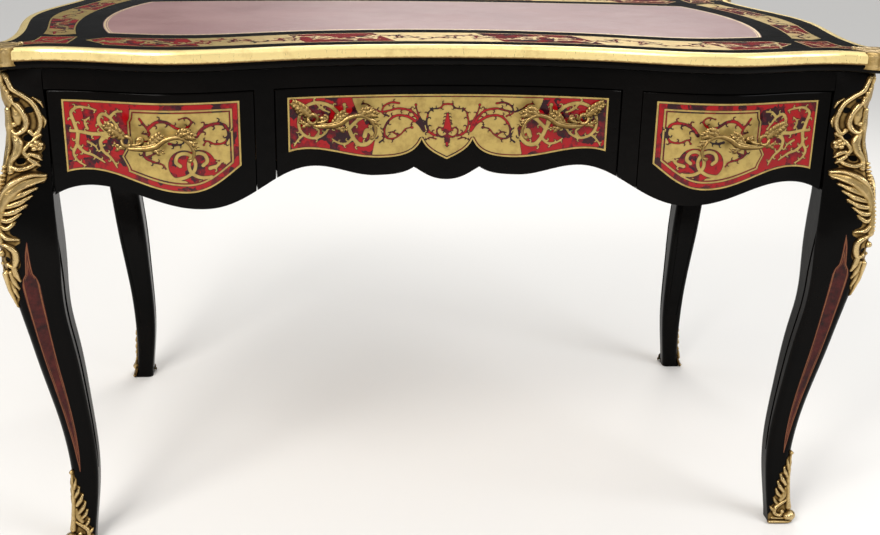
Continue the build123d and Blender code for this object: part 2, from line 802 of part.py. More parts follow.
def pull_leaf(base, tip, width):
    """A flat leaf from base to tip: a lens between two arcs."""
    length = sqrt((tip[0] - base[0]) ** 2 + (tip[1] - base[1]) ** 2)
    side_x = (base[1] - tip[1]) / length * width / 2
    side_z = (tip[0] - base[0]) / length * width / 2
    middle_x = (base[0] + tip[0]) / 2
    middle_z = (base[1] + tip[1]) / 2
    left = ThreePointArc(base, (middle_x + side_x, middle_z + side_z), tip)
    right = ThreePointArc(tip, (middle_x - side_x, middle_z - side_z), base)
    return through_y(make_face([left, right]), -pull_leaf_thickness / 2, pull_leaf_thickness / 2)


def pull_post():
    """A turned post along -Y: a round plate, a neck, and a round head whose middle is on the bow. Its seam
    is turned upwards, clear of the bow."""
    out = -pull_reach
    shoulder = out + sqrt(pull_post_head ** 2 - pull_post_radius ** 2)
    stem = Polyline(
        (0, out - pull_post_head), (0, pull_seat), (pull_plate_radius, pull_seat),
        (pull_plate_radius, -pull_plate_thickness), (pull_post_radius, -pull_plate_thickness),
        (pull_post_radius, shoulder),
    )
    head = ThreePointArc((pull_post_radius, shoulder), (pull_post_head, out), (0, out - pull_post_head))
    return Rot(0, -90, 0) * revolve(make_face([stem, head]), Axis.Y)


def pull_shape(hand):
    """A rigid scrolled pull that stands out from the plane Y = 0. Its ring is at the left for hand 1 and
    at the right for hand -1."""
    out = -pull_reach
    ring_x, ring_z = pull_ring_place
    shape = Pos(hand * ring_x, out, ring_z) * Rot(90, 0, 0) * Torus(pull_ring_radius, pull_ring_rod)
    path = FilletPolyline(*[(hand * x, out, z) for x, z in pull_bow], radius=pull_bow_radii)
    shape = shape + sweep(Plane(origin=path @ 0, z_dir=path % 0) * Circle(pull_rod), path=path)
    end_x, end_z = pull_bow[-1]
    shape = shape + Pos(hand * end_x, out, end_z) * Sphere(pull_ball_radius)
    for base, tip, width in pull_leaves:
        shape = shape + Pos(0, out, 0) * pull_leaf((hand * base[0], base[1]), (hand * tip[0], tip[1]), width)
    for x, z in pull_posts:
        shape = shape + Pos(hand * x, 0, z) * pull_post()
    return shape


def build_drawers():
    """The three drawers, and the false drawers' pulls on the back."""
    side_pulls = {}
    centre_pulls = {}
    back_pulls = []
    side_face_y = frieze_face_y(side_pull_x, -1)
    centre_face_y = frieze_face_y(centre_pull_x, -1)
    for hand in (1, -1):
        pull = pull_shape(hand)
        side_pulls[hand] = Pos(-hand * side_pull_x, side_face_y, side_pull_z) * pull
        centre_pulls[hand] = Pos(-hand * centre_pull_x, centre_face_y, centre_pull_z) * pull
        for x, z in ((side_pull_x, side_pull_z), (centre_pull_x, centre_pull_z)):
            turned = Pos(hand * x, frieze_face_y(x, 1), z) * Rot(0, 0, 180) * pull
            back_pulls.append(turned - slab(frieze_plan, 0, far))
    keep("back_pulls", Compound(children=back_pulls))
    centre_half = divider_inner_x - drawer_clearance
    side_start = divider_outer_x + drawer_clearance
    side_end = leg_inner_x - drawer_clearance * 1.5
    face_zone = frieze_body & front_shape
    centre_blank = face_zone & block(-centre_half, centre_half, -far, -centre_front_back_y, 0, drawer_top)
    side_blank = face_zone & block(side_start, side_end, -far, -side_front_back_y, 0, drawer_top)
    centre_panel = inlay_skin & through_y(centre_panel_elevation(), -far, 0)
    side_panel = inlay_skin & through_y(side_panel_elevation(), -far, 0)
    build_drawer(
        "centre", softened(centre_blank), centre_panel, -centre_box_half, centre_box_half,
        centre_front_back_y, list(centre_pulls.values()),
    )
    side_front = softened(side_blank)
    build_drawer(
        "right", side_front, side_panel, side_box_x0, side_box_x1, side_front_back_y, [side_pulls[-1]]
    )
    build_drawer(
        "left", mirror_x(side_front), mirror_x(side_panel), -side_box_x1, -side_box_x0,
        side_front_back_y, [side_pulls[1]],
    )


# ---------------------------------------------------------------- putting it together
leg_blank = leg_solid()
leg, leg_inlays, chute, sabot = build_leg_set(leg_blank)
board = build_top()
build_carcase(leg, leg_blank)
kickers, room = build_supports()
screws, screw_holes = build_screws(kickers)
for hole in screw_holes:
    kickers = [kicker - hole for kicker in kickers]
    board = board - hole - mirror_x(hole)
keep("drawer_kickers", Compound(children=[p for kicker in kickers for p in (kicker, mirror_x(kicker))]))
keep("top_screws", Compound(children=[p for screw in screws for p in (screw, mirror_x(screw))]))
keep("top_board", board)

glue_blocks = []
for y in glue_block_places_y:
    piece = block(
        side_waist_x - frieze_inset - apron_thickness - block_size, far,
        y - block_length / 2, y + block_length / 2, frieze_top - block_size, frieze_top,
    )
    glue_blocks += [piece & room, mirror_x(piece & room)]
for x in glue_block_places_x:
    piece = block(
        x - block_length / 2, x + block_length / 2, back_dip_y - apron_thickness - block_size, far,
        frieze_top - block_size, frieze_top,
    )
    glue_blocks += [piece & room, mirror_x(piece & room)]
keep("glue_blocks", Compound(children=glue_blocks))

for side_y, side_name in ((-1, "front"), (1, "back")):
    clasp = build_clasp(side_y, side_name)
    keep("corner_clasp_" + side_name + "_right", clasp)
    keep("corner_clasp_" + side_name + "_left", mirror_x(clasp))
for corner_name, piece in on_corners(chute).items():
    keep("chute_" + corner_name, piece)
for corner_name, piece in on_corners(sabot).items():
    keep("sabot_" + corner_name, piece)
inlay_sets = [on_corners(inlay) for inlay in leg_inlays]
for corner_name in inlay_sets[0]:
    keep("leg_marquetry_" + corner_name, Compound(children=[inlays[corner_name] for inlays in inlay_sets]))
build_drawers()

os.makedirs("parts", exist_ok=True)
for node, shape in parts.items():
    export_step(shape, "parts/" + node + ".step")
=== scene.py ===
import math

import bpy
import numpy as np
from mathutils import Matrix, Vector
from mathutils.bvhtree import BVHTree


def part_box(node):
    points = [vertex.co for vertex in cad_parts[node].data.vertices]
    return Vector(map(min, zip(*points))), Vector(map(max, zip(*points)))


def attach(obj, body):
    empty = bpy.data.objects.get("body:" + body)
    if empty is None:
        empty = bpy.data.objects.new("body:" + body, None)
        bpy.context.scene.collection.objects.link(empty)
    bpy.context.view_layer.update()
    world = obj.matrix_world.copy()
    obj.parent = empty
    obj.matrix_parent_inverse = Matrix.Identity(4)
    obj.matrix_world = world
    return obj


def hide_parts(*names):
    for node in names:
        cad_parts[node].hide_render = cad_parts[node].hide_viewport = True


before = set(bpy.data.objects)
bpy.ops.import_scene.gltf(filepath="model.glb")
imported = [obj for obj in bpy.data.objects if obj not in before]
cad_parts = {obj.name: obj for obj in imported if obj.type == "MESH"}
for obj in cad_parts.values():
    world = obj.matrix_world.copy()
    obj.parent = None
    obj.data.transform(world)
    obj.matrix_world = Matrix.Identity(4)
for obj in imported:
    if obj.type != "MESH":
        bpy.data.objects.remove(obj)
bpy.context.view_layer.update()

MM = 0.001                    # a millimetre, in metres

# ---------------------------------------------------------------- the studio
# A pale floor that runs far out, a world with a bright ceiling over dark walls, three large soft
# lamps and the camera, which stands a little left of the desk and looks down on its top.
floor_colour = (0.80, 0.79, 0.77, 1)
floor_radius = 40.0
dark_band = 0.045             # the wall's shade a little over the horizon, which the gloss shows
dome_shades = [(0.0, 0.50), (0.05, 0.20), (0.09, dark_band), (0.34, dark_band), (0.60, 0.55), (1.0, 1.0)]
dome_strength = 1.15
camera_place = Vector((-0.1665, -1.9567, 1.0004))
camera_yaw = -0.0968          # radians, to the right
camera_pitch = 0.3261         # radians, downwards
camera_roll = 0.0192
camera_lens = 47.57


def set_inputs(tree, node, inputs):
    """Sets a shader node's sockets by name or number, each to a plain value or another node's output."""
    for key, value in inputs.items():
        if isinstance(value, bpy.types.NodeSocket):
            tree.links.new(value, node.inputs[key])
        else:
            node.inputs[key].default_value = value


def put(tree, kind, inputs=(), **settings):
    """Adds a shader node with its settings and inputs."""
    made = tree.nodes.new("ShaderNode" + kind)
    for key, value in settings.items():
        setattr(made, key, value)
    set_inputs(tree, made, dict(inputs))
    return made


def ramp(tree, value, stops):
    """A colour ramp over (place, grey or colour) stops."""
    made = put(tree, "ValToRGB", {"Fac": value})
    while len(made.color_ramp.elements) < len(stops):
        made.color_ramp.elements.new(0.5)
    for element, (place, colour) in zip(made.color_ramp.elements, stops):
        element.position = place
        element.color = (colour,) * 3 + (1,) if isinstance(colour, float) else tuple(colour) + (1,)
    return made.outputs["Color"]


def finish_of(name):
    """A new material: returns it, its node tree, its Principled shader and its Object coordinates."""
    made = bpy.data.materials.new(name)
    made.use_nodes = True
    tree = made.node_tree
    shader = tree.nodes["Principled BSDF"]
    place = put(tree, "TexCoord").outputs["Object"]
    return made, tree, shader, place


def noise(tree, place, scale, detail, rough=0.5, **more):
    """Noise of the given scale, in cycles a metre, as numbers from 0 to 1."""
    inputs = {"Vector": place, "Scale": scale, "Detail": detail, "Roughness": rough, **more}
    return put(tree, "TexNoise", inputs).outputs["Fac"]


def maths(tree, operation, *values):
    """One operation of the Math node over plain values and outputs."""
    return put(tree, "Math", dict(enumerate(values)), operation=operation).outputs[0]


def mapped(tree, value, low, high, first=0.0, last=1.0):
    """first where the value is under low, last where it is over high, and in between a straight line."""
    return put(tree, "MapRange", {
        "Value": value, "From Min": low, "From Max": high, "To Min": first, "To Max": last,
    }).outputs["Result"]


def mixed(tree, share, first, second):
    """Two colours mixed, each plain or an output: share is how much there is of the second."""
    ends = [end + (1,) if isinstance(end, tuple) else end for end in (first, second)]
    return put(tree, "Mix", {"Factor": share, 6: ends[0], 7: ends[1]}, data_type="RGBA").outputs[2]


def carried(tree, name):
    """The number of that name that the mesh carries at each of its points."""
    return put(tree, "Attribute", attribute_name=name).outputs["Fac"]


def bump(tree, shader, height, strength, distance):
    """Lets the light see a fine relief: height is 0 to 1, and distance what that is in metres."""
    relief = put(tree, "Bump", {"Height": height, "Strength": strength, "Distance": distance})
    set_inputs(tree, shader, {"Normal": relief.outputs["Normal"]})


def lamp(name, place, aim, size, power, colour):
    """A soft rectangular lamp that faces a point."""
    data = bpy.data.lights.new(name, "AREA")
    data.shape = "RECTANGLE"
    data.size, data.size_y = size
    data.energy = power
    data.color = colour
    made = bpy.data.objects.new(name, data)
    made.location = place
    made.rotation_euler = (Vector(aim) - Vector(place)).to_track_quat("-Z", "Y").to_euler()
    bpy.context.collection.objects.link(made)


floor_mesh = bpy.data.meshes.new("studio_floor")
angles = np.linspace(0, 2 * math.pi, 96, endpoint=False)
rim = np.stack([floor_radius * np.cos(angles), floor_radius * np.sin(angles), 0 * angles], 1)
floor_mesh.from_pydata(rim.tolist(), [], [list(range(len(rim)))])
floor = bpy.data.objects.new("studio_floor", floor_mesh)
bpy.context.collection.objects.link(floor)
floor_finish, tree, shader, place = finish_of("studio_floor")
set_inputs(tree, shader, {"Base Color": floor_colour, "Roughness": 0.9, "Specular IOR Level": 0.1})
floor_mesh.materials.append(floor_finish)

world = bpy.data.worlds.new("studio")
bpy.context.scene.world = world
world.use_nodes = True
tree = world.node_tree
direction = put(tree, "TexCoord").outputs["Generated"]
height = put(tree, "SeparateXYZ", {"Vector": direction}).outputs["Z"]
dome = ramp(tree, height, dome_shades)
set_inputs(tree, tree.nodes["Background"], {"Color": dome, "Strength": dome_strength})

lamp("key", (-1.5, -2.3, 2.7), (0, 0, 0.5), (1.5, 1.1), 75, (1.0, 0.97, 0.93))
lamp("fill", (2.3, -1.6, 1.9), (0, 0, 0.5), (1.6, 1.2), 38, (0.95, 0.97, 1.0))
lamp("window", (-1.3, -2.6, 1.9), (0, 0, 0.6), (0.42, 0.30), 14, (1.0, 0.99, 0.96))
lamp("rear", (0.6, 2.6, 2.4), (0, 0, 0.5), (2.0, 1.0), 42, (1.0, 0.98, 0.95))

camera_data = bpy.data.cameras.new("camera")
camera_data.lens = camera_lens
camera_data.clip_start = 0.05
camera_data.clip_end = 200
camera = bpy.data.objects.new("camera", camera_data)
bpy.context.collection.objects.link(camera)
forward = Vector((
    -math.sin(camera_yaw) * math.cos(camera_pitch),
    math.cos(camera_yaw) * math.cos(camera_pitch),
    -math.sin(camera_pitch),
))
level_right = Vector((math.cos(camera_yaw), math.sin(camera_yaw), 0))
level_up = level_right.cross(forward)
right = math.cos(camera_roll) * level_right + math.sin(camera_roll) * level_up
up = -math.sin(camera_roll) * level_right + math.cos(camera_roll) * level_up
turn = Matrix((right, up, -forward)).transposed()
camera.matrix_world = Matrix.Translation(camera_place) @ turn.to_4x4()
bpy.context.scene.camera = camera
bpy.context.scene.view_settings.view_transform = "Standard"


# ---------------------------------------------------------------- black wood
# Legs, aprons, rail, dividers, drawer fronts and the top board are ebonised wood under many coats of
# polished black lacquer: deep and glossy, with the slow waviness of hand-rubbed work and a little dust.
lacquer_deep = (0.0012, 0.0011, 0.0010)
lacquer_warm = (0.0026, 0.0020, 0.0017)
black_nodes = [
    "leg_front_left", "leg_front_right", "leg_back_left", "leg_back_right",
    "side_apron_left", "side_apron_right", "back_apron", "front_top_rail",
    "drawer_divider_left", "drawer_divider_right", "top_board",
    "centre_drawer_front", "left_drawer_front", "right_drawer_front",
]


def dress(nodes, material):
    """Gives CAD nodes their finish; their shapes stay as they are."""
    for node in nodes:
        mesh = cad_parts[node].data
        mesh.materials.clear()
        mesh.materials.append(material)


def black_lacquer():
    """Slow colour drift, rubbed roughness in patches and a faint orange-peel bump."""
    made, tree, shader, place = finish_of("black_lacquer")
    drift = noise(tree, place, 7, 4)
    rubbed = noise(tree, place, 38, 5, 0.6)
    set_inputs(tree, shader, {
        "Base Color": ramp(tree, drift, [(0.35, lacquer_deep), (0.75, lacquer_warm)]),
        "Roughness": ramp(tree, rubbed, [(0.3, 0.07), (0.62, 0.13), (0.85, 0.22)]),
        "Specular IOR Level": 0.06,
    })
    bump(tree, shader, noise(tree, place, 55, 2), 0.06, 0.004)
    return made


lacquer = black_lacquer()
dress(black_nodes, lacquer)


# ---------------------------------------------------------------- drawer stops
# A small block of black wood is glued to each side of both dividers, behind the drawer fronts' ends. The
# fronts close against them, and they keep light out of the gap beside each front.
side_stop = ((271.0, 276.6), (-327.0, -320.0), (571.5, 611.0))       # millimetres along x, y and z
centre_stop = ((239.8, 250.0), (-284.0, -278.0), (585.0, 600.0))
worn_edge = 0.6


def drawer_stop(name, spans, side):
    """A block that fills a span along each axis, on one side of the desk, with its edges worn round."""
    across, depth, height = spans
    across = sorted(side * x for x in across)
    places = np.array([(x, y, z) for x in across for y in depth for z in height]) * MM
    faces = [(0, 1, 3, 2), (4, 6, 7, 5), (0, 4, 5, 1), (2, 3, 7, 6), (0, 2, 6, 4), (1, 5, 7, 3)]
    mesh = bpy.data.meshes.new(name)
    mesh.from_pydata(places.tolist(), [], faces)
    mesh.materials.append(lacquer)
    stop = bpy.data.objects.new(name, mesh)
    bpy.context.collection.objects.link(stop)
    worn = stop.modifiers.new("worn edges", "BEVEL")
    worn.width = worn_edge * MM
    worn.segments = 2
    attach(stop, "desk")


for kind, spans in (("", side_stop), ("centre_", centre_stop)):
    for hand, side in (("left", -1), ("right", 1)):
        drawer_stop("drawer_stop_" + kind + hand, spans, side)


# ---------------------------------------------------------------- oak and screws out of sight
# Drawer boxes, runners, guides, kickers and glue blocks are plain oak, sawn along the grain and left
# raw, and eight steel screws hold the top from below.
oak_light = (0.42, 0.27, 0.135)
oak_dark = (0.235, 0.135, 0.062)
oak_pore = (0.13, 0.07, 0.032)
steel_dark = (0.20, 0.19, 0.18)
steel_light = (0.42, 0.41, 0.40)


def oak(name, along):
    """Grain stretched along one axis: broad figure, fine pores and a saw-mark bump."""
    made, tree, shader, place = finish_of(name)
    stretch = [1.0, 1.0, 1.0]
    stretch["xyz".index(along)] = 0.06
    fibre = put(tree, "Mapping", {"Vector": place, "Scale": stretch}).outputs["Vector"]
    figure = noise(tree, fibre, 26, 4, 0.6, Distortion=0.6)
    wood = ramp(tree, figure, [(0.3, oak_dark), (0.5, oak_light), (0.72, oak_dark)])
    pores = noise(tree, fibre, 520, 2, 0.6)
    dark = ramp(tree, pores, [(0.57, 0.0), (0.70, 0.8)])
    set_inputs(tree, shader, {"Base Color": mixed(tree, dark, wood, oak_pore), "Roughness": 0.72})
    bump(tree, shader, pores, 0.25, 0.0006)
    return made


long_oak = oak("oak_along_depth", "y")
cross_oak = oak("oak_along_width", "x")
for drawer in ("centre_drawer", "left_drawer", "right_drawer"):
    dress([drawer + "_sides"], long_oak)
    dress([drawer + "_back", drawer + "_bottom"], cross_oak)
dress(["drawer_runners", "drawer_guides", "drawer_kickers", "glue_blocks"], long_oak)

screw_steel, tree, shader, place = finish_of("screw_steel")
stain = noise(tree, place, 900, 3)
set_inputs(tree, shader, {
    "Metallic": 1.0,
    "Base Color": ramp(tree, stain, [(0.3, steel_dark), (0.7, steel_light)]),
    "Roughness": ramp(tree, stain, [(0.3, 0.30), (0.7, 0.55)]),
})
dress(["top_screws"], screw_steel)


# ---------------------------------------------------------------- brass edge of the top
# Four lengths of cast brass, bent to the outline and rounded over, polished to a pale yellow. The
# founder's fine cross marks still show in it, and its lower lip under the edge is painted brown as shade.
brass_bright = (0.95, 0.75, 0.33)
brass_deep = (0.78, 0.58, 0.24)
brass_under_shade = (0.24, 0.14, 0.045)
painted_shade_under = (0.7575, 0.7590)        # metres up: painted shade all below the first, none above the second


def polished_brass():
    """Pale brass with cross marks and thin tarnish in patches; its lower lip is painted darker, as shade
    under the edge, up to a ragged line.
    """
    made, tree, shader, place = finish_of("polished_brass")
    patches = noise(tree, place, 42, 5, 0.65)
    metal = ramp(tree, patches, [(0.28, brass_deep), (0.48, brass_bright), (1.0, brass_bright)])
    across = put(tree, "Mapping", {"Vector": place, "Scale": (1, 1, 0.12)}).outputs["Vector"]
    marks = noise(tree, across, 640, 3, 0.7)
    height = put(tree, "SeparateXYZ", {"Vector": place}).outputs["Z"]
    # painted shade: the lip under the edge is made dark brown below a ragged height
    ragged = maths(tree, "MULTIPLY", noise(tree, place, 260, 3), 0.0028)
    low = mapped(tree, maths(tree, "SUBTRACT", height, ragged), *painted_shade_under, 1.0, 0.0)
    set_inputs(tree, shader, {
        "Base Color": mixed(tree, low, metal, brass_under_shade),
        "Metallic": 0.7,
        "Roughness": ramp(tree, marks, [(0.3, 0.26), (0.7, 0.42)]),
    })
    bump(tree, shader, marks, 0.22, 0.0005)
    return made


edge_brass = polished_brass()
dress(["edge_moulding_" + side for side in ("front", "back", "left", "right")], edge_brass)


# ---------------------------------------------------------------- the marquetry round the top
# Eight panels of brass and red-painted shell, sawn together from one packet, glued flush into the
# black wood and engraved. A brass fillet runs round each, and a leafy scroll runs along its middle.
fillet_width = 2.4            # millimetres
shell_bright = (0.275, 0.003, 0.005)
shell_deep = (0.13, 0.002, 0.006)
shell_dark = (0.020, 0.002, 0.005)
inlay_brass = (0.54, 0.39, 0.125)
inlay_brass_dull = (0.38, 0.26, 0.08)
sawn_line = (0.012, 0.006, 0.005)
engraved_line = (0.10, 0.05, 0.02)
engraved_inset = 0.85         # from the sawn line to the engraved one
inlay_thickness = 1.2
inlay_proud = 0.06
field_reach = 4.0             # how far from a stroke its distance is worked out
top_cell = 1.2
long_pitch = 116              # one wave of the scroll along the front and back
end_pitch = 100               # and along the two ends
stem_weight = 1.3             # every stem is this much wider than its numbers say


def smooth_path(points, step=0.7):
    """A cubic curve through the points (Hermite pieces, slopes by central differences), every step mm."""
    knots = np.asarray(points, float)
    chord = np.sqrt(np.linalg.norm(np.diff(knots, axis=0), axis=1))
    place = np.concatenate([[0], np.cumsum(chord)])
    slope = np.gradient(knots, place, axis=0)
    length = np.linalg.norm(np.diff(knots, axis=0), axis=1).sum()
    at = np.linspace(0, place[-1], max(4, int(length / step)))
    k = np.clip(np.searchsorted(place, at, side="right") - 1, 0, len(place) - 2)
    h = (place[k + 1] - place[k])[:, None]
    t = ((at - place[k])[:, None]) / h
    return (
        (2 * t**3 - 3 * t**2 + 1) * knots[k] + (t**3 - 2 * t**2 + t) * h * slope[k]
        + (3 * t**2 - 2 * t**3) * knots[k + 1] + (t**3 - t**2) * h * slope[k + 1]
    )


def offshoot(root, ahead, across, size, places):
    """A smooth path from a root through places, given ahead and across as shares of a size."""
    return smooth_path([root] + [root + size * (u * ahead + v * across) for u, v in places], 0.5)


def vine(points, wide, thin=0.3, leaf=0.0, gap=9.0, ball=0.0):
    """A tendril as discs (x, z, radius): radius falls from wide to thin along a smooth path, hooked
    leaves of length leaf stand every gap mm on alternate sides, and a ball may end it. A hook leaves
    the stem at a slant, bends back over itself and ends in a bud, with a short spur beside it."""
    path = smooth_path(points)
    wide, thin = wide * stem_weight, thin * stem_weight + 0.2
    share = np.linspace(0, 1, len(path))
    radius = thin + (wide - thin) * (1 - share) ** 0.8
    discs = [np.column_stack([path, radius])]
    if ball:
        discs.append([[path[-1, 0], path[-1, 1], ball * 1.15]])
    if leaf:
        step = np.linalg.norm(np.diff(path, axis=0), axis=1)
        run = np.concatenate([[0], np.cumsum(step)])
        side = 1
        for at in np.arange(gap * 0.6, run[-1] - gap * 0.3, gap):
            k = int(np.searchsorted(run, at))
            ahead = path[min(k + 1, len(path) - 1)] - path[k - 1]
            ahead = ahead / np.linalg.norm(ahead)
            across = np.array([-ahead[1], ahead[0]]) * side
            size = leaf * (1 - 0.4 * at / run[-1])
            hook = offshoot(path[k], ahead, across, size, [(0.50, 0.42), (0.62, 0.88), (0.30, 1.02)])
            fat = np.interp(np.linspace(0, 1, len(hook)), [0, 0.4, 0.8, 1], [0.20, 0.15, 0.08, 0.13])
            discs.append(np.column_stack([hook, fat * size + 0.12]))
            spur = offshoot(path[k], ahead, across, size, [(0.55, 0.12), (1.05, 0.42)])
            discs.append(np.column_stack([spur, np.linspace(size * 0.20, 0.3, len(spur))]))
            side = -side
    return np.concatenate(discs)


def mirrored(discs):
    """The same discs on both sides of x = 0."""
    return np.concatenate([discs, discs * [-1, 1, 1]])


def raster(x0, x1, z0, z1, cell):
    """An empty field of distances over a rectangle, in millimetres."""
    xs = np.arange(x0, x1 + cell, cell)
    zs = np.arange(z0, z1 + cell, cell)
    return {"x": xs, "z": zs, "cell": cell, "far": np.full((len(zs), len(xs)), field_reach)}


def patch(field, x, z, reach):
    """The rows and columns of a field within reach of a point, and how far their places are from it."""
    xs, zs, cell = field["x"], field["z"], field["cell"]
    i, j, span = (x - xs[0]) / cell, (z - zs[0]) / cell, reach / cell
    columns = slice(max(0, int(i - span)), max(0, min(len(xs), int(i + span) + 2)))
    rows = slice(max(0, int(j - span)), max(0, min(len(zs), int(j + span) + 2)))
    return (rows, columns), np.hypot(xs[None, columns] - x, zs[rows, None] - z)


def stamp(field, discs):
    """Lowers the field to the nearest disc's edge distance, |p - q| - r: it is negative inside."""
    far = field["far"]
    for x, z, r in discs:
        part, away = patch(field, x, z, r + field_reach)
        np.minimum(far[part], away - r, out=far[part])
    return field


def sample(field, x, z, values=None):
    """The field's value at any points, straight-line between its cells."""
    grid = field["far"] if values is None else values
    i = np.clip((x - field["x"][0]) / field["cell"], 0, grid.shape[1] - 1.001)
    j = np.clip((z - field["z"][0]) / field["cell"], 0, grid.shape[0] - 1.001)
    a, b = i.astype(int), j.astype(int)
    u, v = i - a, j - b
    low = grid[b, a] * (1 - u) + grid[b, a + 1] * u
    high = grid[b + 1, a] * (1 - u) + grid[b + 1, a + 1] * u
    return low * (1 - v) + high * v


def grid_quads(rows, columns):
    """The quads of a grid of points, by row and column, each as four point numbers."""
    index = np.arange(rows * columns).reshape(rows, columns)
    return np.stack([index[:-1, :-1], index[:-1, 1:], index[1:, 1:], index[1:, :-1]], -1)


def sheet(name, points, fields, material, flip, thickness):
    """A mesh from a grid of points in millimetres, rows by columns, with per-point numbers kept as
    attributes. flip turns its faces round. A thin wall runs down from its rim by the thickness."""
    rows, columns = points.shape[:2]
    quads = grid_quads(rows, columns).reshape(-1, 4)
    corner = points[0, columns // 2]
    across = np.cross(points[0, columns // 2 + 1] - corner, points[1, columns // 2] - corner)
    if flip:
        quads = quads[:, ::-1]
        across = -across
    down = np.broadcast_to(-across / np.linalg.norm(across), (rows * columns, 3))
    return surface(name, points.reshape(-1, 3), quads, fields, material, thickness, down)


def surface(name, points, quads, fields, material, depth, down):
    """A smooth mesh from points in millimetres and quads. Every open edge gets a wall that goes depth
    along down, a direction for each point, so that the piece looks solid."""
    points = np.asarray(points, float)
    fields = {key: np.asarray(values, float).ravel() for key, values in fields.items()}
    sides = np.concatenate([quads[:, [k, (k + 1) % 4]] for k in range(4)])
    key = np.sort(sides, 1) @ [len(points), 1]
    _, first, count = np.unique(key, return_index=True, return_counts=True)
    rim = sides[first[count == 1]]
    used, slot = np.unique(rim, return_inverse=True)
    top = len(points) + slot.reshape(rim.shape)
    foot = top + len(used)
    walls = np.stack([top[:, 1], top[:, 0], foot[:, 0], foot[:, 1]], 1)
    points = np.concatenate([points, points[used], points[used] + down[used] * depth])
    fields = {key: np.concatenate([values, values[used], values[used]]) for key, values in fields.items()}
    quads = np.concatenate([quads, walls])
    mesh = bpy.data.meshes.new(name)
    mesh.vertices.add(len(points))
    mesh.vertices.foreach_set("co", (points * MM).ravel())
    mesh.loops.add(len(quads) * 4)
    mesh.loops.foreach_set("vertex_index", np.ascontiguousarray(quads).ravel())
    mesh.polygons.add(len(quads))
    mesh.polygons.foreach_set("loop_start", np.arange(len(quads)) * 4)
    mesh.update(calc_edges=True)
    return finished(mesh, fields, material)


def finished(mesh, fields, material):
    """Checks a mesh, shades it smooth, gives it its numbers and material, and makes its object."""
    mesh.validate()
    mesh.polygons.foreach_set("use_smooth", np.ones(len(mesh.polygons), bool))
    for key, values in fields.items():
        mesh.attributes.new(key, "FLOAT", "POINT").data.foreach_set("value", values)
    mesh.materials.append(material)
    made = bpy.data.objects.new(mesh.name, mesh)
    bpy.context.collection.objects.link(made)
    return made


def boulle_marquetry():
    """Brass where the piece's own 'brass' number, a distance in millimetres, is above zero, and painted
    shell elsewhere, with a dark sawn line between them and an engraved line inside the brass. The shell is
    in small plates, each a little lighter or darker."""
    made, tree, shader, place = finish_of("boulle_marquetry")
    inside = carried(tree, "brass")
    is_brass = mapped(tree, inside, -0.08, 0.08)
    sawn = mapped(tree, inside, -1.2, 0.4)
    sawn = ramp(tree, sawn, [(0.0, 0.0), (0.38, 0.35), (0.55, 0.92), (0.76, 0.92), (0.86, 0.0)])
    engraved = maths(tree, "ABSOLUTE", maths(tree, "SUBTRACT", inside, engraved_inset))
    engraved = ramp(tree, engraved, [(0.0, 0.45), (0.10, 0.30), (0.17, 0.0)])

    torn = noise(tree, place, 60, 3, 0.6).node.outputs["Color"]
    shifted = put(tree, "Mix", {"Factor": 0.018, 4: place, 5: torn}, data_type="VECTOR").outputs[1]
    plates = {"Vector": shifted, "Scale": 58, "Randomness": 0.75}
    plates = put(tree, "TexVoronoi", plates, distance="CHEBYCHEV").outputs["Color"]
    pick = put(tree, "SeparateColor", {"Color": plates}).outputs["Red"]
    pick = maths(tree, "ADD", pick, noise(tree, place, 130, 5, 0.6))
    pick = maths(tree, "MULTIPLY", pick, 0.5)
    reds = [(0.30, shell_dark), (0.41, shell_deep), (0.50, shell_bright), (1.0, shell_bright)]

    worn = noise(tree, place, 75, 5, 0.65)
    gold = ramp(tree, worn, [(0.30, inlay_brass_dull), (0.55, inlay_brass), (1.0, inlay_brass)])
    gold = mixed(tree, engraved, gold, engraved_line)
    fine = noise(tree, place, 600, 3)
    set_inputs(tree, shader, {
        "Base Color": mixed(tree, sawn, mixed(tree, is_brass, ramp(tree, pick, reds), gold), sawn_line),
        "Metallic": maths(tree, "MULTIPLY", is_brass, 0.75),
        "Specular IOR Level": 0.3,
        "Roughness": maths(tree, "MULTIPLY_ADD", fine, 0.10, mapped(tree, is_brass, 0.0, 1.0, 0.10, 0.30)),
        "Coat Weight": 0.05,
        "Coat Roughness": 0.08,
    })
    bump(tree, shader, is_brass, 0.3, 0.0002)
    return made


boulle = boulle_marquetry()


def tree_of(node):
    """Ray tree of a CAD node, in millimetres."""
    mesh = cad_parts[node].data
    places = np.empty(len(mesh.vertices) * 3)
    mesh.vertices.foreach_get("co", places)
    places = places.reshape(-1, 3) / MM
    return BVHTree.FromPolygons(places.tolist(), [list(face.vertices) for face in mesh.polygons])


def meet(rays, start, along, axis):
    """Where a line from start along a direction first meets the node, as one coordinate."""
    found = rays.ray_cast(Vector(start), Vector(along))[0]
    return None if found is None else found["xyz".index(axis)]


def filled(values):
    """A list with gaps filled from their neighbours, as an array."""
    known = np.array([np.nan if value is None else value for value in values])
    good = ~np.isnan(known)
    return np.interp(np.arange(len(known)), np.flatnonzero(good), known[good])


def soften(values, sigma):
    """Smooths a row of numbers with a bell of sigma samples; its ends stay."""
    reach = int(3 * sigma)
    bell = np.exp(-0.5 * (np.arange(-reach, reach + 1) / sigma) ** 2)
    padded = np.concatenate([
        2 * values[0] - values[reach:0:-1], values, 2 * values[-1] - values[-2:-reach - 2:-1],
    ])
    return np.convolve(padded, bell / bell.sum(), "valid")


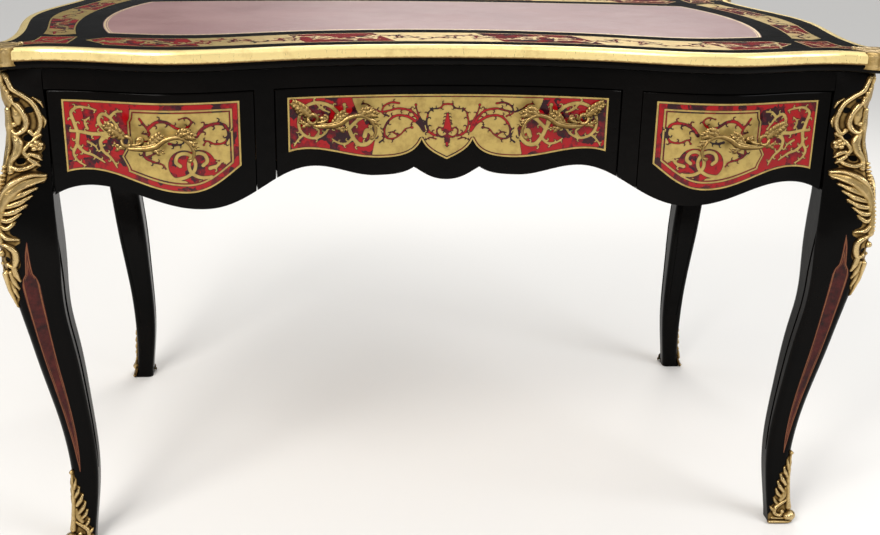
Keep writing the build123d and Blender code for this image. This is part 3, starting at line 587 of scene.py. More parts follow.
def rim_distance(x, z, outline, step=0.6):
    """Distance from each point to a closed outline."""
    closed = np.concatenate([outline, outline[:1]])
    gaps = np.linalg.norm(np.diff(closed, axis=0), axis=1)
    run = np.concatenate([[0], np.cumsum(gaps)])
    at = np.linspace(0, run[-1], int(run[-1] / step))
    dots = np.column_stack([np.interp(at, run, closed[:, 0]), np.interp(at, run, closed[:, 1])])
    near = np.full(x.shape, 1e9)
    for chunk in np.array_split(dots, max(1, len(dots) // 24)):
        middle = chunk.mean(0)
        close = np.hypot(x - middle[0], z - middle[1]) < 40
        if close.any():
            gap = np.hypot(x[close][:, None] - chunk[None, :, 0], z[close][:, None] - chunk[None, :, 1])
            near[close] = np.minimum(near[close], gap.min(1))
    return np.minimum(near, 40)


def within(x, z, outline):
    """True inside a closed outline: a level line from the point crosses it an odd number of times."""
    crossed = np.zeros(x.shape, bool)
    for (x0, z0), (x1, z1) in zip(outline, np.roll(outline, -1, 0)):
        between = (z0 > z) != (z1 > z)
        crossed ^= between & (x < x0 + (x1 - x0) * (z - z0) / (z1 - z0 if z1 != z0 else 1e-9))
    return crossed


def drawn_in(x, z, far):
    """Grid points just outside an outline, moved back on to it along the slope of their distance."""
    slope_z, slope_x = np.gradient(far, abs(x[0, 1] - x[0, 0]))
    steep = np.maximum(slope_x**2 + slope_z**2, 0.25)
    pull = np.where(far > 0, far, 0) / steep
    return x - pull * slope_x, z - pull * slope_z


def kept_quads(inside):
    """Quads of a grid whose four corners are all inside, and the grid places they use."""
    whole = inside[:-1, :-1] & inside[:-1, 1:] & inside[1:, 1:] & inside[1:, :-1]
    quads = grid_quads(*inside.shape)[whole]
    used, slot = np.unique(quads, return_inverse=True)
    return slot.reshape(quads.shape), used


def flat_outlines(node):
    """Closed outlines of a node's upward faces, in millimetres. Edges with one such face are chained."""
    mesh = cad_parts[node].data
    ways = {}
    for face in mesh.polygons:
        if face.normal.z < 0.9:
            continue
        spots = [mesh.vertices[number].co / MM for number in face.vertices]
        keys = [(round(spot.x, 2), round(spot.y, 2)) for spot in spots]
        for start, end in zip(keys, keys[1:] + keys[:1]):
            if ways.get(end, {}).pop(start, None) is None:
                ways.setdefault(start, {})[end] = True
    loops = []
    while any(ways.values()):
        start = next(key for key, ends in ways.items() if ends)
        loop, here = [], start
        while True:
            loop.append(here)
            here = ways[here].popitem()[0]
            if here == start or not ways.get(here):
                break
        loops.append(np.array(loop, float))
    return loops


top_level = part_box("top_marquetry")[1].z / MM


def zone_waves(along, across, period, lean):
    """Alternating lens-shaped grounds along a band: above zero where brass is the ground."""
    wave = np.cos(2 * math.pi * (along + lean * across) / period)
    return (wave + 0.12) * period / 7


def running_scroll(length, middle, reach, pitch, weight):
    """A wavy stem along a band's middle line, with a curling branch in the hollow of every wave."""
    places = np.arange(-length, length + pitch / 8, pitch / 4)
    stem = [(x, middle(x) + reach * 0.52 * math.sin(2 * math.pi * x / pitch)) for x in places]
    discs = [vine(stem, weight, weight * 0.8, leaf=reach * 0.42, gap=pitch / 7)]
    for k, x in enumerate(np.arange(-length + pitch / 4, length - pitch / 8, pitch / 2)):
        side = (-1) ** (k + round(2 * length / pitch))
        curl = []
        for i, turn in enumerate(np.linspace(0, 1.5 * math.pi, 7)):
            shrink = 1 - 0.1 * i
            curl.append((
                x + side * pitch * 0.16 * shrink * math.sin(turn),
                middle(x) + side * reach * (0.52 * shrink * math.cos(turn) - 0.10),
            ))
        discs.append(vine(curl, weight * 0.85, 0.3, leaf=reach * 0.34, gap=pitch / 9, ball=weight * 1.1))
    return np.concatenate(discs)


def top_panel(name, outline, axis, pitch):
    """One panel of the band as a fine grid inside its outline. A panel with a pitch runs along an axis
    and has a running scroll, the others have a corner scroll on shell ground."""
    low, high = outline.min(0), outline.max(0)
    spans = [np.arange(low[k] - top_cell, high[k] + 2 * top_cell, top_cell) for k in (0, 1)]
    x, y = np.meshgrid(*spans)
    rim = rim_distance(x, y, outline, 0.3)
    inside = within(x, y, outline)
    far = np.where(inside, -rim, rim)
    x, y = drawn_in(x, y, far)
    if pitch:
        along, across = (x, y) if axis == "x" else (y, x)
        half = (high - low)["xy".index(axis)] / 2
        mid = ((high + low) / 2)["xy".index(axis)]
        steps = np.arange(mid - half + 4, mid + half - 3, 4.0)
        bands = [across[inside & (np.abs(along - place) < 3)] for place in steps]
        middles = soften(np.array([(band.min() + band.max()) / 2 for band in bands]), 4)
        width = np.median([band.max() - band.min() for band in bands])

        def middle_line(place):
            """The band's middle across, at a place along it from the panel's middle."""
            return float(np.interp(place + mid, steps, middles))

        strokes = running_scroll(half - 12, middle_line, width * 0.42, pitch, 1.25)
        strokes[:, 0] += mid
        zone = zone_waves(along - mid, across - across.mean(), pitch * 2.5, 0.35)
    else:
        along, across = x, y
        strokes = corner_scroll(*np.sign(outline.mean(0)))
        zone = np.full(x.shape, -5.0)
    field = raster(along.min() - 2, along.max() + 2, across.min() - 2, across.max() + 2, 0.5)
    stroke = -sample(stamp(field, strokes), along, across)
    pattern = np.maximum(np.minimum(zone, -stroke), np.minimum(-zone, stroke))
    brass = np.maximum(fillet_width + far, np.minimum(pattern, -far - fillet_width))
    quads, used = kept_quads(far < top_cell * 0.75)
    points = np.stack([x, y, np.full(x.shape, top_level + inlay_proud)], -1).reshape(-1, 3)[used]
    down = np.broadcast_to([0.0, 0.0, -1.0], points.shape)
    made = surface(name, points, quads, {"brass": brass.ravel()[used]}, boulle, inlay_thickness, down)
    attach(made, "desk")
    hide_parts("top_marquetry")


def corner_scroll(side_x, side_y):
    """Three leafy tendrils that fill a corner panel, mirrored to its corner."""
    strokes = np.concatenate([
        vine([(526, 278), (536, 300), (550, 308), (560, 298), (556, 286), (547, 288)],
             1.3, 0.4, leaf=5, gap=8, ball=1.5),
        vine([(534, 300), (540, 320), (554, 330), (568, 324), (570, 310)],
             1.2, 0.4, leaf=5, gap=8, ball=1.4),
        vine([(556, 318), (572, 328), (584, 340)], 1.1, 0.3, leaf=5, gap=7),
    ])
    return strokes * [side_x, side_y, 1]


for number, outline in enumerate(flat_outlines("top_marquetry")):
    size_x, size_y = outline.max(0) - outline.min(0)
    if size_x > 400:
        axis, pitch = "x", long_pitch
    elif size_y > 300:
        axis, pitch = "y", end_pitch
    else:
        axis, pitch = "x", 0
    top_panel("top_marquetry_%d" % number, outline, axis, pitch)


# ---------------------------------------------------------------- marquetry on the drawers and aprons
# Each drawer front, false front and side apron carries one curved panel of brass and red shell, with
# arabesques of thin leafy scrolls. The middle of each is brass ground, the ends are shell ground.
front_rays = {name: tree_of(name) for name in (
    "centre_drawer_marquetry", "left_drawer_marquetry", "right_drawer_marquetry",
    "back_marquetry", "side_marquetry_left", "side_marquetry_right",
)}
panel_cell = 1.1
panel_level = 660             # a height at which every one of these panels is met
panel_below = 500             # and heights under and over them all
panel_above = 800
outside = 900                 # a distance from the middle that is beyond the desk on every side
centre_span = (-226.8, 226.8)
side_spans = {"left": (-529.8, -291.2), "right": (291.2, 529.8)}
end_span = (-231.8, 231.8)
frame_inset = 10.0            # from a side panel's rim to its second fillet
frame_ground = 4.4            # from there to the brass ground within it
shell_line = 1.6              # the shell between a fillet and a brass ground

centre_strokes = mirrored(np.concatenate([
    vine([(0, 641), (0, 650), (0, 656)], 1.2, 0.9),
    vine([(0, 654), (0, 662), (0, 676)], 4.6, 0.5, leaf=7, gap=5),
    vine([(0, 641), (0, 634), (0, 626)], 3.4, 0.4, leaf=4.5, gap=4),
    vine([(0, 644), (8, 641), (14, 645), (15, 652), (10, 655), (7, 651)], 1.3, 0.5, ball=1.5),
    vine([(0, 646), (-7, 652), (-13, 656)], 1.0, 0.3, leaf=4, gap=5),
    vine([(0, 689), (6, 688), (10, 684), (17, 682), (26, 683)], 1.2, 0.4, leaf=5, gap=6),
    vine([(14, 643), (22, 645), (29, 654), (30, 667), (27, 677), (22, 684)], 1.5, 0.4, leaf=7, gap=7),
    vine([(33, 651), (37, 664), (43, 676), (46, 688)], 1.3, 0.5, leaf=6, gap=9, ball=1.9),
    vine([(34, 650), (42, 660.6), (57.8, 671), (73.6, 672.7), (86.3, 663.6), (91, 651.5), (88, 641),
          (78.4, 639.4), (67.3, 645.5), (60, 653.5), (51, 655)], 1.7, 0.5, leaf=7, gap=11, ball=1.8),
    vine([(73, 645), (80, 649), (86, 648)], 1.0, 0.3, leaf=5, gap=5),
    vine([(35, 652), (50, 677), (69, 683), (84.7, 680), (97.3, 678.8), (106.8, 683), (116, 690),
          (124, 690)], 1.6, 0.4, leaf=7, gap=12),
    vine([(70, 690.5), (82, 691.5), (92, 686), (94, 677), (85, 672)], 1.3, 0.6, leaf=5, gap=8, ball=1.4),
    vine([(16, 638), (26, 640), (33, 634)], 0.9, 0.3, leaf=4, gap=5),
    vine([(98, 634), (92, 640), (95, 650)], 1.0, 0.3, leaf=4, gap=5),
    vine([(119.4, 643.9), (116.3, 652), (109.5, 648.5), (108.8, 639.4), (116, 632.5), (127.3, 632.5),
          (136.8, 643.9), (144.7, 662), (155.8, 677.2), (168.4, 689), (184.2, 694), (198.4, 691.5),
          (208, 683.3), (212, 669.7), (210, 656), (201.6, 647), (189, 643.9), (177, 649), (170, 658)],
         2.4, 0.9, leaf=8, gap=13, ball=2.2),
    vine([(141, 656), (128, 668), (117, 672), (108, 668), (106, 660), (112, 658)],
         2.0, 0.6, leaf=7, gap=9, ball=1.8),
    vine([(144, 664), (147, 676), (148, 690)], 1.8, 0.8, leaf=6, gap=8, ball=2.2),
    vine([(150, 668), (166, 660), (178, 664), (188, 674), (198, 676), (204, 668)],
         1.7, 0.5, leaf=7, gap=9, ball=1.6),
    vine([(136, 642), (146, 634), (158, 636), (166, 642)], 1.6, 0.4, leaf=6, gap=8),
    vine([(186, 693), (178, 684), (168, 680)], 1.3, 0.4, leaf=5, gap=7),
    vine([(205, 650), (214, 642), (219, 634)], 1.3, 0.4, leaf=5, gap=6),
    vine([(190, 644), (184, 654), (192, 660)], 1.2, 0.4, leaf=5, gap=6),
]))
side_strokes = np.concatenate([
    # red scrolls on the brass ground, from the inner end outwards
    vine([(349, 657), (341, 667), (327, 673), (312, 671), (307, 660), (311, 648), (324, 645),
          (336, 650), (340, 645)], 2.0, 0.6, leaf=8, gap=9, ball=1.5),
    vine([(424, 681), (414, 667), (411, 660), (422, 661)], 1.4, 0.4, leaf=6, gap=7),
    vine([(413, 668), (401, 677), (388, 677), (375, 669), (363, 668), (355, 677), (361, 683), (371, 681)],
         2.0, 0.5, leaf=7, gap=10, ball=1.3),
    vine([(420, 640), (419, 628), (407, 622), (395, 618), (392, 613)], 1.6, 0.5, leaf=7, gap=8, ball=1.2),
    vine([(418, 628), (407, 633), (398, 637)], 1.2, 0.3, leaf=5, gap=6),
    vine([(386, 648), (376, 646), (366, 648)], 1.5, 0.3, leaf=6, gap=5),
    vine([(430, 652), (421, 650), (412, 652)], 1.2, 0.3, leaf=5, gap=5),
    # brass arabesques on the shell ground at the outer end
    vine([(452, 659), (467, 659), (490, 657), (512, 660), (521, 660)], 2.2, 1.2, leaf=8, gap=10),
    vine([(466, 659), (477, 668), (481, 677), (475, 685), (465, 681), (458, 673), (452, 665)],
         2.2, 0.7, leaf=7, gap=10, ball=1.6),
    vine([(464, 682), (456, 689), (448, 690)], 1.7, 0.6, leaf=5, gap=7, ball=1.3),
    vine([(468, 657), (480, 647), (477, 634), (466, 624), (459, 612)], 2.2, 0.5, leaf=8, gap=9),
    vine([(512, 661), (516, 675), (518, 686), (508, 693), (492, 692), (483, 690)], 2.0, 0.5, leaf=7, gap=9),
    vine([(511, 656), (512, 640), (503, 631), (491, 627), (481, 621), (476, 618)], 2.0, 0.5, leaf=7, gap=9),
    vine([(497, 664), (500, 673), (493, 680)], 1.5, 0.4, leaf=5, gap=6),
    vine([(514, 640), (519, 628), (512, 617), (503, 612)], 1.6, 0.4, leaf=6, gap=7),
    vine([(498, 646), (489, 641), (484, 634)], 1.3, 0.4, leaf=5, gap=6),
])
ring_strokes = np.concatenate([
    vine([(372.5, 616.5), (378, 622), (375, 631), (366, 634), (357, 630), (352, 619), (354.5, 609),
          (365, 601), (381, 597.5)], 1.9, 1.6, ball=2.9),
    vine([(342, 616.5), (336.5, 622), (339.5, 631), (349, 634), (357.5, 628), (361, 617), (358, 607),
          (347, 600), (332, 599)], 1.9, 1.6, ball=2.6),
    vine([(333, 612), (322, 616), (315, 627)], 2.0, 0.5, leaf=7, gap=6),
])
ring_ground = np.array([[367, 617, 21.5], [347, 617, 21.5], [330, 612, 13], [320, 615, 8], [357, 606, 14]])
end_strokes = mirrored(np.concatenate([
    vine([(0, 612), (0, 628), (0, 640)], 1.6, 1.2),
    vine([(0, 640), (0, 652), (0, 676)], 6.0, 0.6, leaf=9, gap=6),
    vine([(0, 612), (12, 608), (22, 614), (24, 626), (16, 633), (10, 627)],
         1.9, 0.6, leaf=7, gap=9, ball=1.9),
    vine([(0, 626), (16, 640), (34, 644), (48, 634), (50, 620), (40, 613), (32, 620)],
         2.1, 0.6, leaf=8, gap=11, ball=2.0),
    vine([(20, 642), (24, 660), (38, 674), (58, 678), (74, 668), (74, 652), (62, 646), (54, 654)],
         2.2, 0.6, leaf=8, gap=11, ball=2.0),
    vine([(0, 684), (12, 692), (28, 690), (44, 692), (66, 692)], 1.6, 0.5, leaf=6, gap=9),
    vine([(52, 622), (68, 620), (84, 628), (92, 644), (90, 662), (98, 676), (112, 682)],
         2.1, 0.7, leaf=8, gap=11),
    vine([(70, 650), (82, 690)], 1.2, 0.4, leaf=5, gap=8),
    vine([(132, 664), (146, 682), (168, 690), (192, 684), (202, 668), (196, 652), (180, 646),
          (168, 656), (174, 666)], 2.5, 0.8, leaf=9, gap=12, ball=2.3),
    vine([(132, 660), (140, 640), (158, 626), (180, 626), (198, 634), (214, 626)],
         2.4, 0.7, leaf=8, gap=12),
    vine([(128, 662), (120, 680), (128, 692)], 1.8, 0.6, leaf=6, gap=8, ball=1.8),
    vine([(130, 656), (122, 640), (128, 628), (138, 622)], 1.8, 0.6, leaf=6, gap=8, ball=1.6),
    vine([(204, 668), (216, 676), (222, 690)], 1.6, 0.5, leaf=6, gap=7),
    vine([(200, 650), (214, 646), (222, 640)], 1.5, 0.5, leaf=5, gap=6),
]))


def centre_ground(x, z, rim):
    """Brass in the middle, out to a lobed line; a thin shell line keeps it off the fillet."""
    knots_z = [600, 640, 655, 668, 678, 690, 703]
    knots_x = [112, 104, 101, 110, 129, 134, 138]
    return np.minimum(np.interp(z, knots_z, knots_x) - np.abs(x), rim - fillet_width - shell_line)


def side_ground(x, z, rim):
    """Brass inside a second fillet that runs along the rim and turns in at a notched line."""
    knots_z = [590, 611, 616, 628, 638, 650, 662, 676, 681, 692, 703]
    knots_x = [443, 443, 445, 451, 445, 441, 441, 441, 438, 436.5, 436.5]
    notch = np.interp(z, knots_z, knots_x) - np.abs(x)
    inner = np.minimum(notch, rim - frame_inset)
    frame_line = fillet_width / 2 - np.abs(inner - fillet_width / 2)
    field = stamp(raster(290, 400, 575, 660, 0.8), ring_ground)
    rings = sample(field, np.clip(np.abs(x), 290, 399), z)
    return np.maximum(frame_line, np.minimum(inner - frame_ground, rings))


def end_ground(x, z, rim):
    """Brass in the middle of a side apron's panel, out to a lobed line."""
    knots_z = [590, 615, 635, 655, 675, 690, 703]
    knots_x = [116, 112, 104, 108, 118, 112, 116]
    return np.minimum(np.interp(z, knots_z, knots_x) - np.abs(x), rim - fillet_width - shell_line)


def frieze_panel(name, body, node, span, towards, strokes, ground, rings=()):
    """A marquetry panel on a vertical curved face. towards is the way it looks: -y, +y, -x or +x. A panel
    to one side of the middle is drawn for the right side, and mirrored. rings are brass on both grounds."""
    rays = front_rays[node]
    sign = -1 if towards[0] == "-" else 1
    axis = towards[1]

    def spot(w, s, z):
        """A point from its place along the panel, its place on the axis and its height."""
        return (w, s, z) if axis == "y" else (s, w, z)

    walk = np.linspace(*span, int((span[1] - span[0]) / panel_cell))
    met = [meet(rays, spot(w, sign * outside, panel_level), spot(0, -sign, 0), axis) for w in walk]
    face = soften(filled(met), 5)
    skin = face - sign * inlay_thickness / 2
    low = filled([meet(rays, spot(w, s, panel_below), (0, 0, 1), "z") for w, s in zip(walk, skin)])
    high = filled([meet(rays, spot(w, s, panel_above), (0, 0, -1), "z") for w, s in zip(walk, skin)])
    share = np.linspace(0, 1, int((high - low).max() / panel_cell))[:, None]
    x = np.broadcast_to(walk, (len(share), len(walk)))
    z = low * (1 - share) + high * share
    outline = np.concatenate([np.column_stack([walk, low]), np.column_stack([walk, high])[::-1]])
    rim = rim_distance(x, z, outline)
    drawn = np.abs(x) if span[0] * span[1] > 0 else x
    reach = (drawn.min() - 2, drawn.max() + 2, z.min() - 2, z.max() + 2)
    stroke = -sample(stamp(raster(*reach, 0.5), strokes), drawn, z)
    brass_zone = ground(x, z, rim)
    pattern = np.maximum(np.minimum(brass_zone, -stroke), np.minimum(-brass_zone, stroke))
    if len(rings):
        pattern = np.maximum(pattern, -sample(stamp(raster(*reach, 0.5), rings), drawn, z))
    brass = np.maximum(fillet_width - rim, np.minimum(pattern, rim - fillet_width))
    out = np.broadcast_to(face + sign * inlay_proud, x.shape)
    points = np.stack(spot(x, out, z), -1)
    made = sheet(name, points, {"brass": brass}, boulle, (sign > 0) == (axis == "y"), inlay_thickness)
    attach(made, body)
    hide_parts(node)


frieze_panel("marquetry_centre", "centre_drawer", "centre_drawer_marquetry", centre_span, "-y",
             centre_strokes, centre_ground)
for hand, span in side_spans.items():
    frieze_panel("marquetry_" + hand, hand + "_drawer", hand + "_drawer_marquetry", span, "-y",
                 side_strokes, side_ground, ring_strokes)
frieze_panel("marquetry_back_centre", "desk", "back_marquetry", centre_span, "+y",
             centre_strokes, centre_ground)
for hand, span in side_spans.items():
    frieze_panel("marquetry_back_" + hand, "desk", "back_marquetry", span, "+y",
                 side_strokes, side_ground, ring_strokes)
for hand, towards in (("left", "-x"), ("right", "+x")):
    frieze_panel("marquetry_end_" + hand, "desk", "side_marquetry_" + hand, end_span, towards,
                 end_strokes, end_ground)


# ---------------------------------------------------------------- leather writing surface
# One skin of plum goatskin, pared and let into the top inside the black border. A broad and a narrow
# line of gold leaf are tooled just inside its edge, and years of writing have polished it.
leather_dark = (0.218, 0.112, 0.112)
leather_light = (0.274, 0.153, 0.148)
tooled_gold = (0.80, 0.64, 0.36)
tool_lines = ((2.6, 1.1), (6.2, 0.35))       # two gold lines: from the leather's edge, half width
leather_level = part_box("leather_inset")[1].z / MM
leather_thickness = 1.4
leather_cell = 2.6
end_gap = 0.15                # the outermost lines across stand this far inside its two ends
edge_drop = 0.35              # how far the skin is pressed down at its edge


def tooled_leather():
    """Grain in two sizes and a slow tide of shade. The piece's 'edge' number is the distance to its rim,
    and the gold lines lie at fixed distances from it, pressed in and worn in places."""
    made, tree, shader, place = finish_of("leather")
    tide = noise(tree, place, 6, 4, 0.6)
    skin = ramp(tree, tide, [(0.3, leather_dark), (0.7, leather_light)])
    edge = carried(tree, "edge")
    lines = []
    for at, wide in tool_lines:
        off = maths(tree, "ABSOLUTE", maths(tree, "SUBTRACT", edge, at))
        lines.append(mapped(tree, off, wide, wide + 0.35, 1.0, 0.0))
    worn = ramp(tree, noise(tree, place, 240, 4, 0.7), [(0.34, 0.2), (0.5, 1.0)])
    gold = maths(tree, "MULTIPLY", maths(tree, "MAXIMUM", *lines), worn)
    polished = noise(tree, place, 11, 4)
    set_inputs(tree, shader, {
        "Base Color": mixed(tree, gold, skin, tooled_gold),
        "Metallic": maths(tree, "MULTIPLY", gold, 0.8),
        "Roughness": ramp(tree, polished, [(0.3, 0.36), (0.7, 0.50)]),
        "Specular IOR Level": 0.38,
    })
    grain = {"Vector": place, "Scale": 900}
    grain = put(tree, "TexVoronoi", grain, feature="DISTANCE_TO_EDGE").outputs["Distance"]
    height = maths(tree, "ADD", grain, noise(tree, place, 420, 4, 0.6))
    bump(tree, shader, maths(tree, "MULTIPLY_ADD", gold, -1.2, height), 0.30, 0.0005)
    return made


def leather_piece():
    """A grid over the leather: for each place along X, from its front edge to its back edge. Rows and
    columns crowd towards the edges, as the cosine does, and the skin falls off there."""
    rays = tree_of("leather_inset")
    low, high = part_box("leather_inset")
    level = leather_level - 0.8
    before = 700              # a distance from the middle, beyond the top's front and back
    left = meet(rays, (-outside, 0, level), (1, 0, 0), "x") + end_gap
    right = meet(rays, (outside, 0, level), (-1, 0, 0), "x") - end_gap
    turn = np.linspace(-math.pi / 2, math.pi / 2, int((right - left) / leather_cell))
    walk = (left + right) / 2 + (right - left) / 2 * np.sin(turn)
    front = filled([meet(rays, (x, -before, level), (0, 1, 0), "y") for x in walk])
    back = filled([meet(rays, (x, before, level), (0, -1, 0), "y") for x in walk])
    share = (1 - np.cos(np.linspace(0, math.pi, 200))) / 2
    x = np.broadcast_to(walk, (len(share), len(walk)))
    y = front + (back - front) * share[:, None]
    outline = np.concatenate([np.column_stack([walk, front]), np.column_stack([walk, back])[::-1]])
    edge = rim_distance(x, y, outline, 1.2)
    points = np.stack([x, y, leather_level + 0.05 - edge_drop * np.exp(-edge / 1.2)], -1)
    made = sheet("leather_top", points, {"edge": edge}, tooled_leather(), False, leather_thickness)
    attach(made, "desk")
    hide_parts("leather_inset")


leather_piece()


# ---------------------------------------------------------------- the legs' shape
# Everything on the legs is laid out on one chart of the front right leg: a runs out both ways from the
# leg's arris, towards its side face where it is above zero, and the height is the other coordinate.
leg_rays = tree_of("leg_front_right")
arris_sum = 239.0             # x + y all along the front right leg's arris
chart_cell = 2.0
chart_a = np.arange(-64, 64.1, chart_cell)
chart_z = np.arange(1, 744.1, chart_cell)
diagonal = math.sqrt(0.5)


def leg_point(a, z):
    """Where a level line along the diagonal, a / sqrt 2 to the side of the arris, meets the leg."""
    aside = a * diagonal * diagonal
    start = (outside + aside, arris_sum - outside + aside, z)
    found = leg_rays.ray_cast(Vector(start), Vector((-diagonal, diagonal, 0)))[0]
    return (np.nan,) * 3 if found is None else tuple(found)


def leg_chart():
    """Points and outward normals over the chart. Places beyond the leg's width carry on from its last
    face, and small facets are smoothed away along the leg."""
    grid = np.array([[leg_point(a, z) for a in chart_a] for z in chart_z])
    for row in grid:
        known = np.flatnonzero(~np.isnan(row[:, 0]))
        first, last = known[1], known[-2]
        for k in range(first - 1, -1, -1):
            row[k] = row[k + 1] + (row[first] - row[first + 2]) / 2
        for k in range(last + 1, len(row)):
            row[k] = row[k - 1] + (row[last] - row[last - 2]) / 2
    for j in range(grid.shape[1]):
        for axis in range(2):
            grid[:, j, axis] = soften(grid[:, j, axis], 2.5)
    along_a = np.gradient(grid, chart_cell, axis=1)
    along_z = np.gradient(grid, chart_cell, axis=0)
    normal = np.cross(along_a, along_z)
    normal /= np.linalg.norm(normal, axis=2, keepdims=True)
    outward = (normal[..., 0] - normal[..., 1]).mean() > 0
    return grid, normal if outward else -normal


leg_grid, leg_normal = leg_chart()


def on_leg(a, z, proud):
    """Points on the front right leg, proud of its face, by straight lines between the chart's places."""
    field = {"x": chart_a, "z": chart_z, "cell": chart_cell}
    place = np.stack([sample(field, a, z, leg_grid[..., k]) for k in range(3)], -1)
    out = np.stack([sample(field, a, z, leg_normal[..., k]) for k in range(3)], -1)
    out /= np.linalg.norm(out, axis=-1, keepdims=True)
    place[..., 2] = z
    return place + out * np.asarray(proud)[..., None], out


# The four corners of the desk: name, and how the front right leg's places are mirrored to it.
corners = {"front_right": (1, 1), "front_left": (-1, 1), "back_right": (1, -1), "back_left": (-1, -1)}


# ---------------------------------------------------------------- spears on the legs
# A long narrow panel of dark shell between two lines of copper, tapering to a point at both ends, is let
# into each outer face of every leg.
copper = (0.200, 0.080, 0.040)
copper_dull = (0.16, 0.06, 0.03)
dark_shell = [(0.32, (0.008, 0.002, 0.002)), (0.5, (0.042, 0.005, 0.004)), (0.75, (0.078, 0.009, 0.007))]
spear_thickness = 1.2
spear_proud = 0.28
spear_ends = (125.2, 507.5)   # heights
copper_lines = ((0.9, 0.55), (2.6, 0.30))     # from the spear's edge, half width
spear_rows = np.array([       # height, half width
    [125, 0.6], [150, 2.4], [200, 4.6], [280, 6.8], [360, 8.2], [430, 9.4], [444, 9.4], [453, 7.6],
    [461, 4.0], [472, 3.0], [490, 2.0], [508, 0.35],
])
leg_rows = np.array([[125, 41], [200, 46], [280, 55], [360, 61], [440, 71], [510, 80]])   # height, width
spear_middle = 0.36           # from the arris to a spear's middle line, as a share of the leg's width


def spear_material():
    """Dark red shell with copper lines where the 'brass' number is above zero."""
    made, tree, shader, place = finish_of("spear_marquetry")
    is_copper = mapped(tree, carried(tree, "brass"), -0.1, 0.1)
    red = ramp(tree, noise(tree, place, 55, 5, 0.65), dark_shell)
    metal = ramp(tree, noise(tree, place, 160, 4, 0.6), [(0.3, copper_dull), (0.6, copper)])
    set_inputs(tree, shader, {
        "Base Color": mixed(tree, is_copper, red, metal),
        "Metallic": maths(tree, "MULTIPLY", is_copper, 0.85),
        "Roughness": 0.22,
        "Specular IOR Level": 0.2,
    })
    return made


spear_finish = spear_material()


def spears(corner, sides):
    """The two spears of one leg, in rows up the leg, each with two copper lines inside its edge."""
    z = np.linspace(*spear_ends, 240)[:, None]
    middle = spear_middle * np.interp(z, *leg_rows.T)
    half = np.interp(z, *spear_rows.T)
    off = half * np.linspace(-1, 1, 17)
    rim = half - np.abs(off)
    brass = np.maximum(*[wide - np.abs(rim - at) for at, wide in copper_lines])
    for face, face_name in ((-1, "_front"), (1, "_side")):
        a = face * (middle + off)
        points, _ = on_leg(a, np.broadcast_to(z, a.shape), np.full(a.shape, spear_proud))
        points[..., :2] *= sides
        flip = (face < 0) == (sides[0] * sides[1] > 0)
        name = "spear_" + corner + face_name
        made = sheet(name, points, {"brass": brass}, spear_finish, flip, spear_thickness)
        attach(made, "desk")
        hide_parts("leg_marquetry_" + corner)


for corner, sides in corners.items():
    spears(corner, sides)


# ---------------------------------------------------------------- gilt bronze
# The mounts are cast in bronze by lost wax, chased with punches and mercury gilt. The high places are
# burnished warm gold, the hollows keep a brown patina, and shade is painted near black into them.
gilt_burnished = (0.60, 0.44, 0.21)
gilt_bright = (0.345, 0.228, 0.080)
gilt_mid = (0.150, 0.088, 0.027)
# painted shade: the near black in the hollows, over their brown patina
gilt_hollow_shade = (0.022, 0.011, 0.004)
relief_margin = 1.2           # a disc's edge distance is worked out this far beyond it
rim_width = 0.9               # a casting gets thinner this close to its rim, and is painted darker there as shade
shade_reach = 2.2             # crests and hollows are told apart over this distance
rim_tuck = 0.7                # how far a casting's rim goes down into what it lies on


def gilt_bronze():
    """Gold by the piece's 'relief' number, 0 in the hollows to 1 on the crests, with chased tool marks.
    The number holds painted shade and highlight as well as the burnish and patina.
    """
    made, tree, shader, place = finish_of("gilt_bronze")
    blotch = noise(tree, place, 120, 5, 0.65)
    # painted light: 'relief' darkens hollows and rims and lightens crests; the blotches add wear
    worn = maths(tree, "MULTIPLY_ADD", blotch, 0.55, carried(tree, "relief"))
    worn = maths(tree, "SUBTRACT", worn, 0.275)
    golds = [(0.03, gilt_hollow_shade), (0.24, gilt_mid), (0.50, gilt_bright), (1.0, gilt_burnished)]
    set_inputs(tree, shader, {
        "Base Color": ramp(tree, worn, golds),
        "Metallic": 1.0,
        "Roughness": ramp(tree, worn, [(0.1, 0.60), (0.5, 0.36), (0.9, 0.27)]),
    })
    punches = noise(tree, place, 900, 2, 0.5)
    waves = noise(tree, place, 230, 4, 0.65)
    bump(tree, shader, maths(tree, "MULTIPLY_ADD", punches, 0.4, waves), 0.6, 0.0012)
    return made


gilt = gilt_bronze()


def stroke(points, radii, lift, vein=0.0):
    """A cast rib or lobe as discs (a, z, radius, lift, vein) along a smooth path. radii are spread evenly
    along it, lift is its height as a share of its radius, and vein is how deep its middle is grooved."""
    path = smooth_path(points, 0.8)
    radius = np.interp(np.linspace(0, 1, len(path)), np.linspace(0, 1, len(radii)), radii)
    return np.column_stack([path, radius, radius * lift, np.full(len(path), vein)])


def c_scroll(points, thick, thin, ball, lift):
    """A moulded C-scroll: a rib that thins at both ends, ending in a round eye."""
    rib = stroke(points, [thin, thick, thick, thin], lift)
    eye = np.array([[*rib[-1, :2], ball, ball * 1.1, 0.0]])
    return np.concatenate([rib, eye])


def flipped(discs):
    """The same discs on both sides of the middle line."""
    return np.concatenate([discs, discs * [-1, 1, 1, 1, 1]])


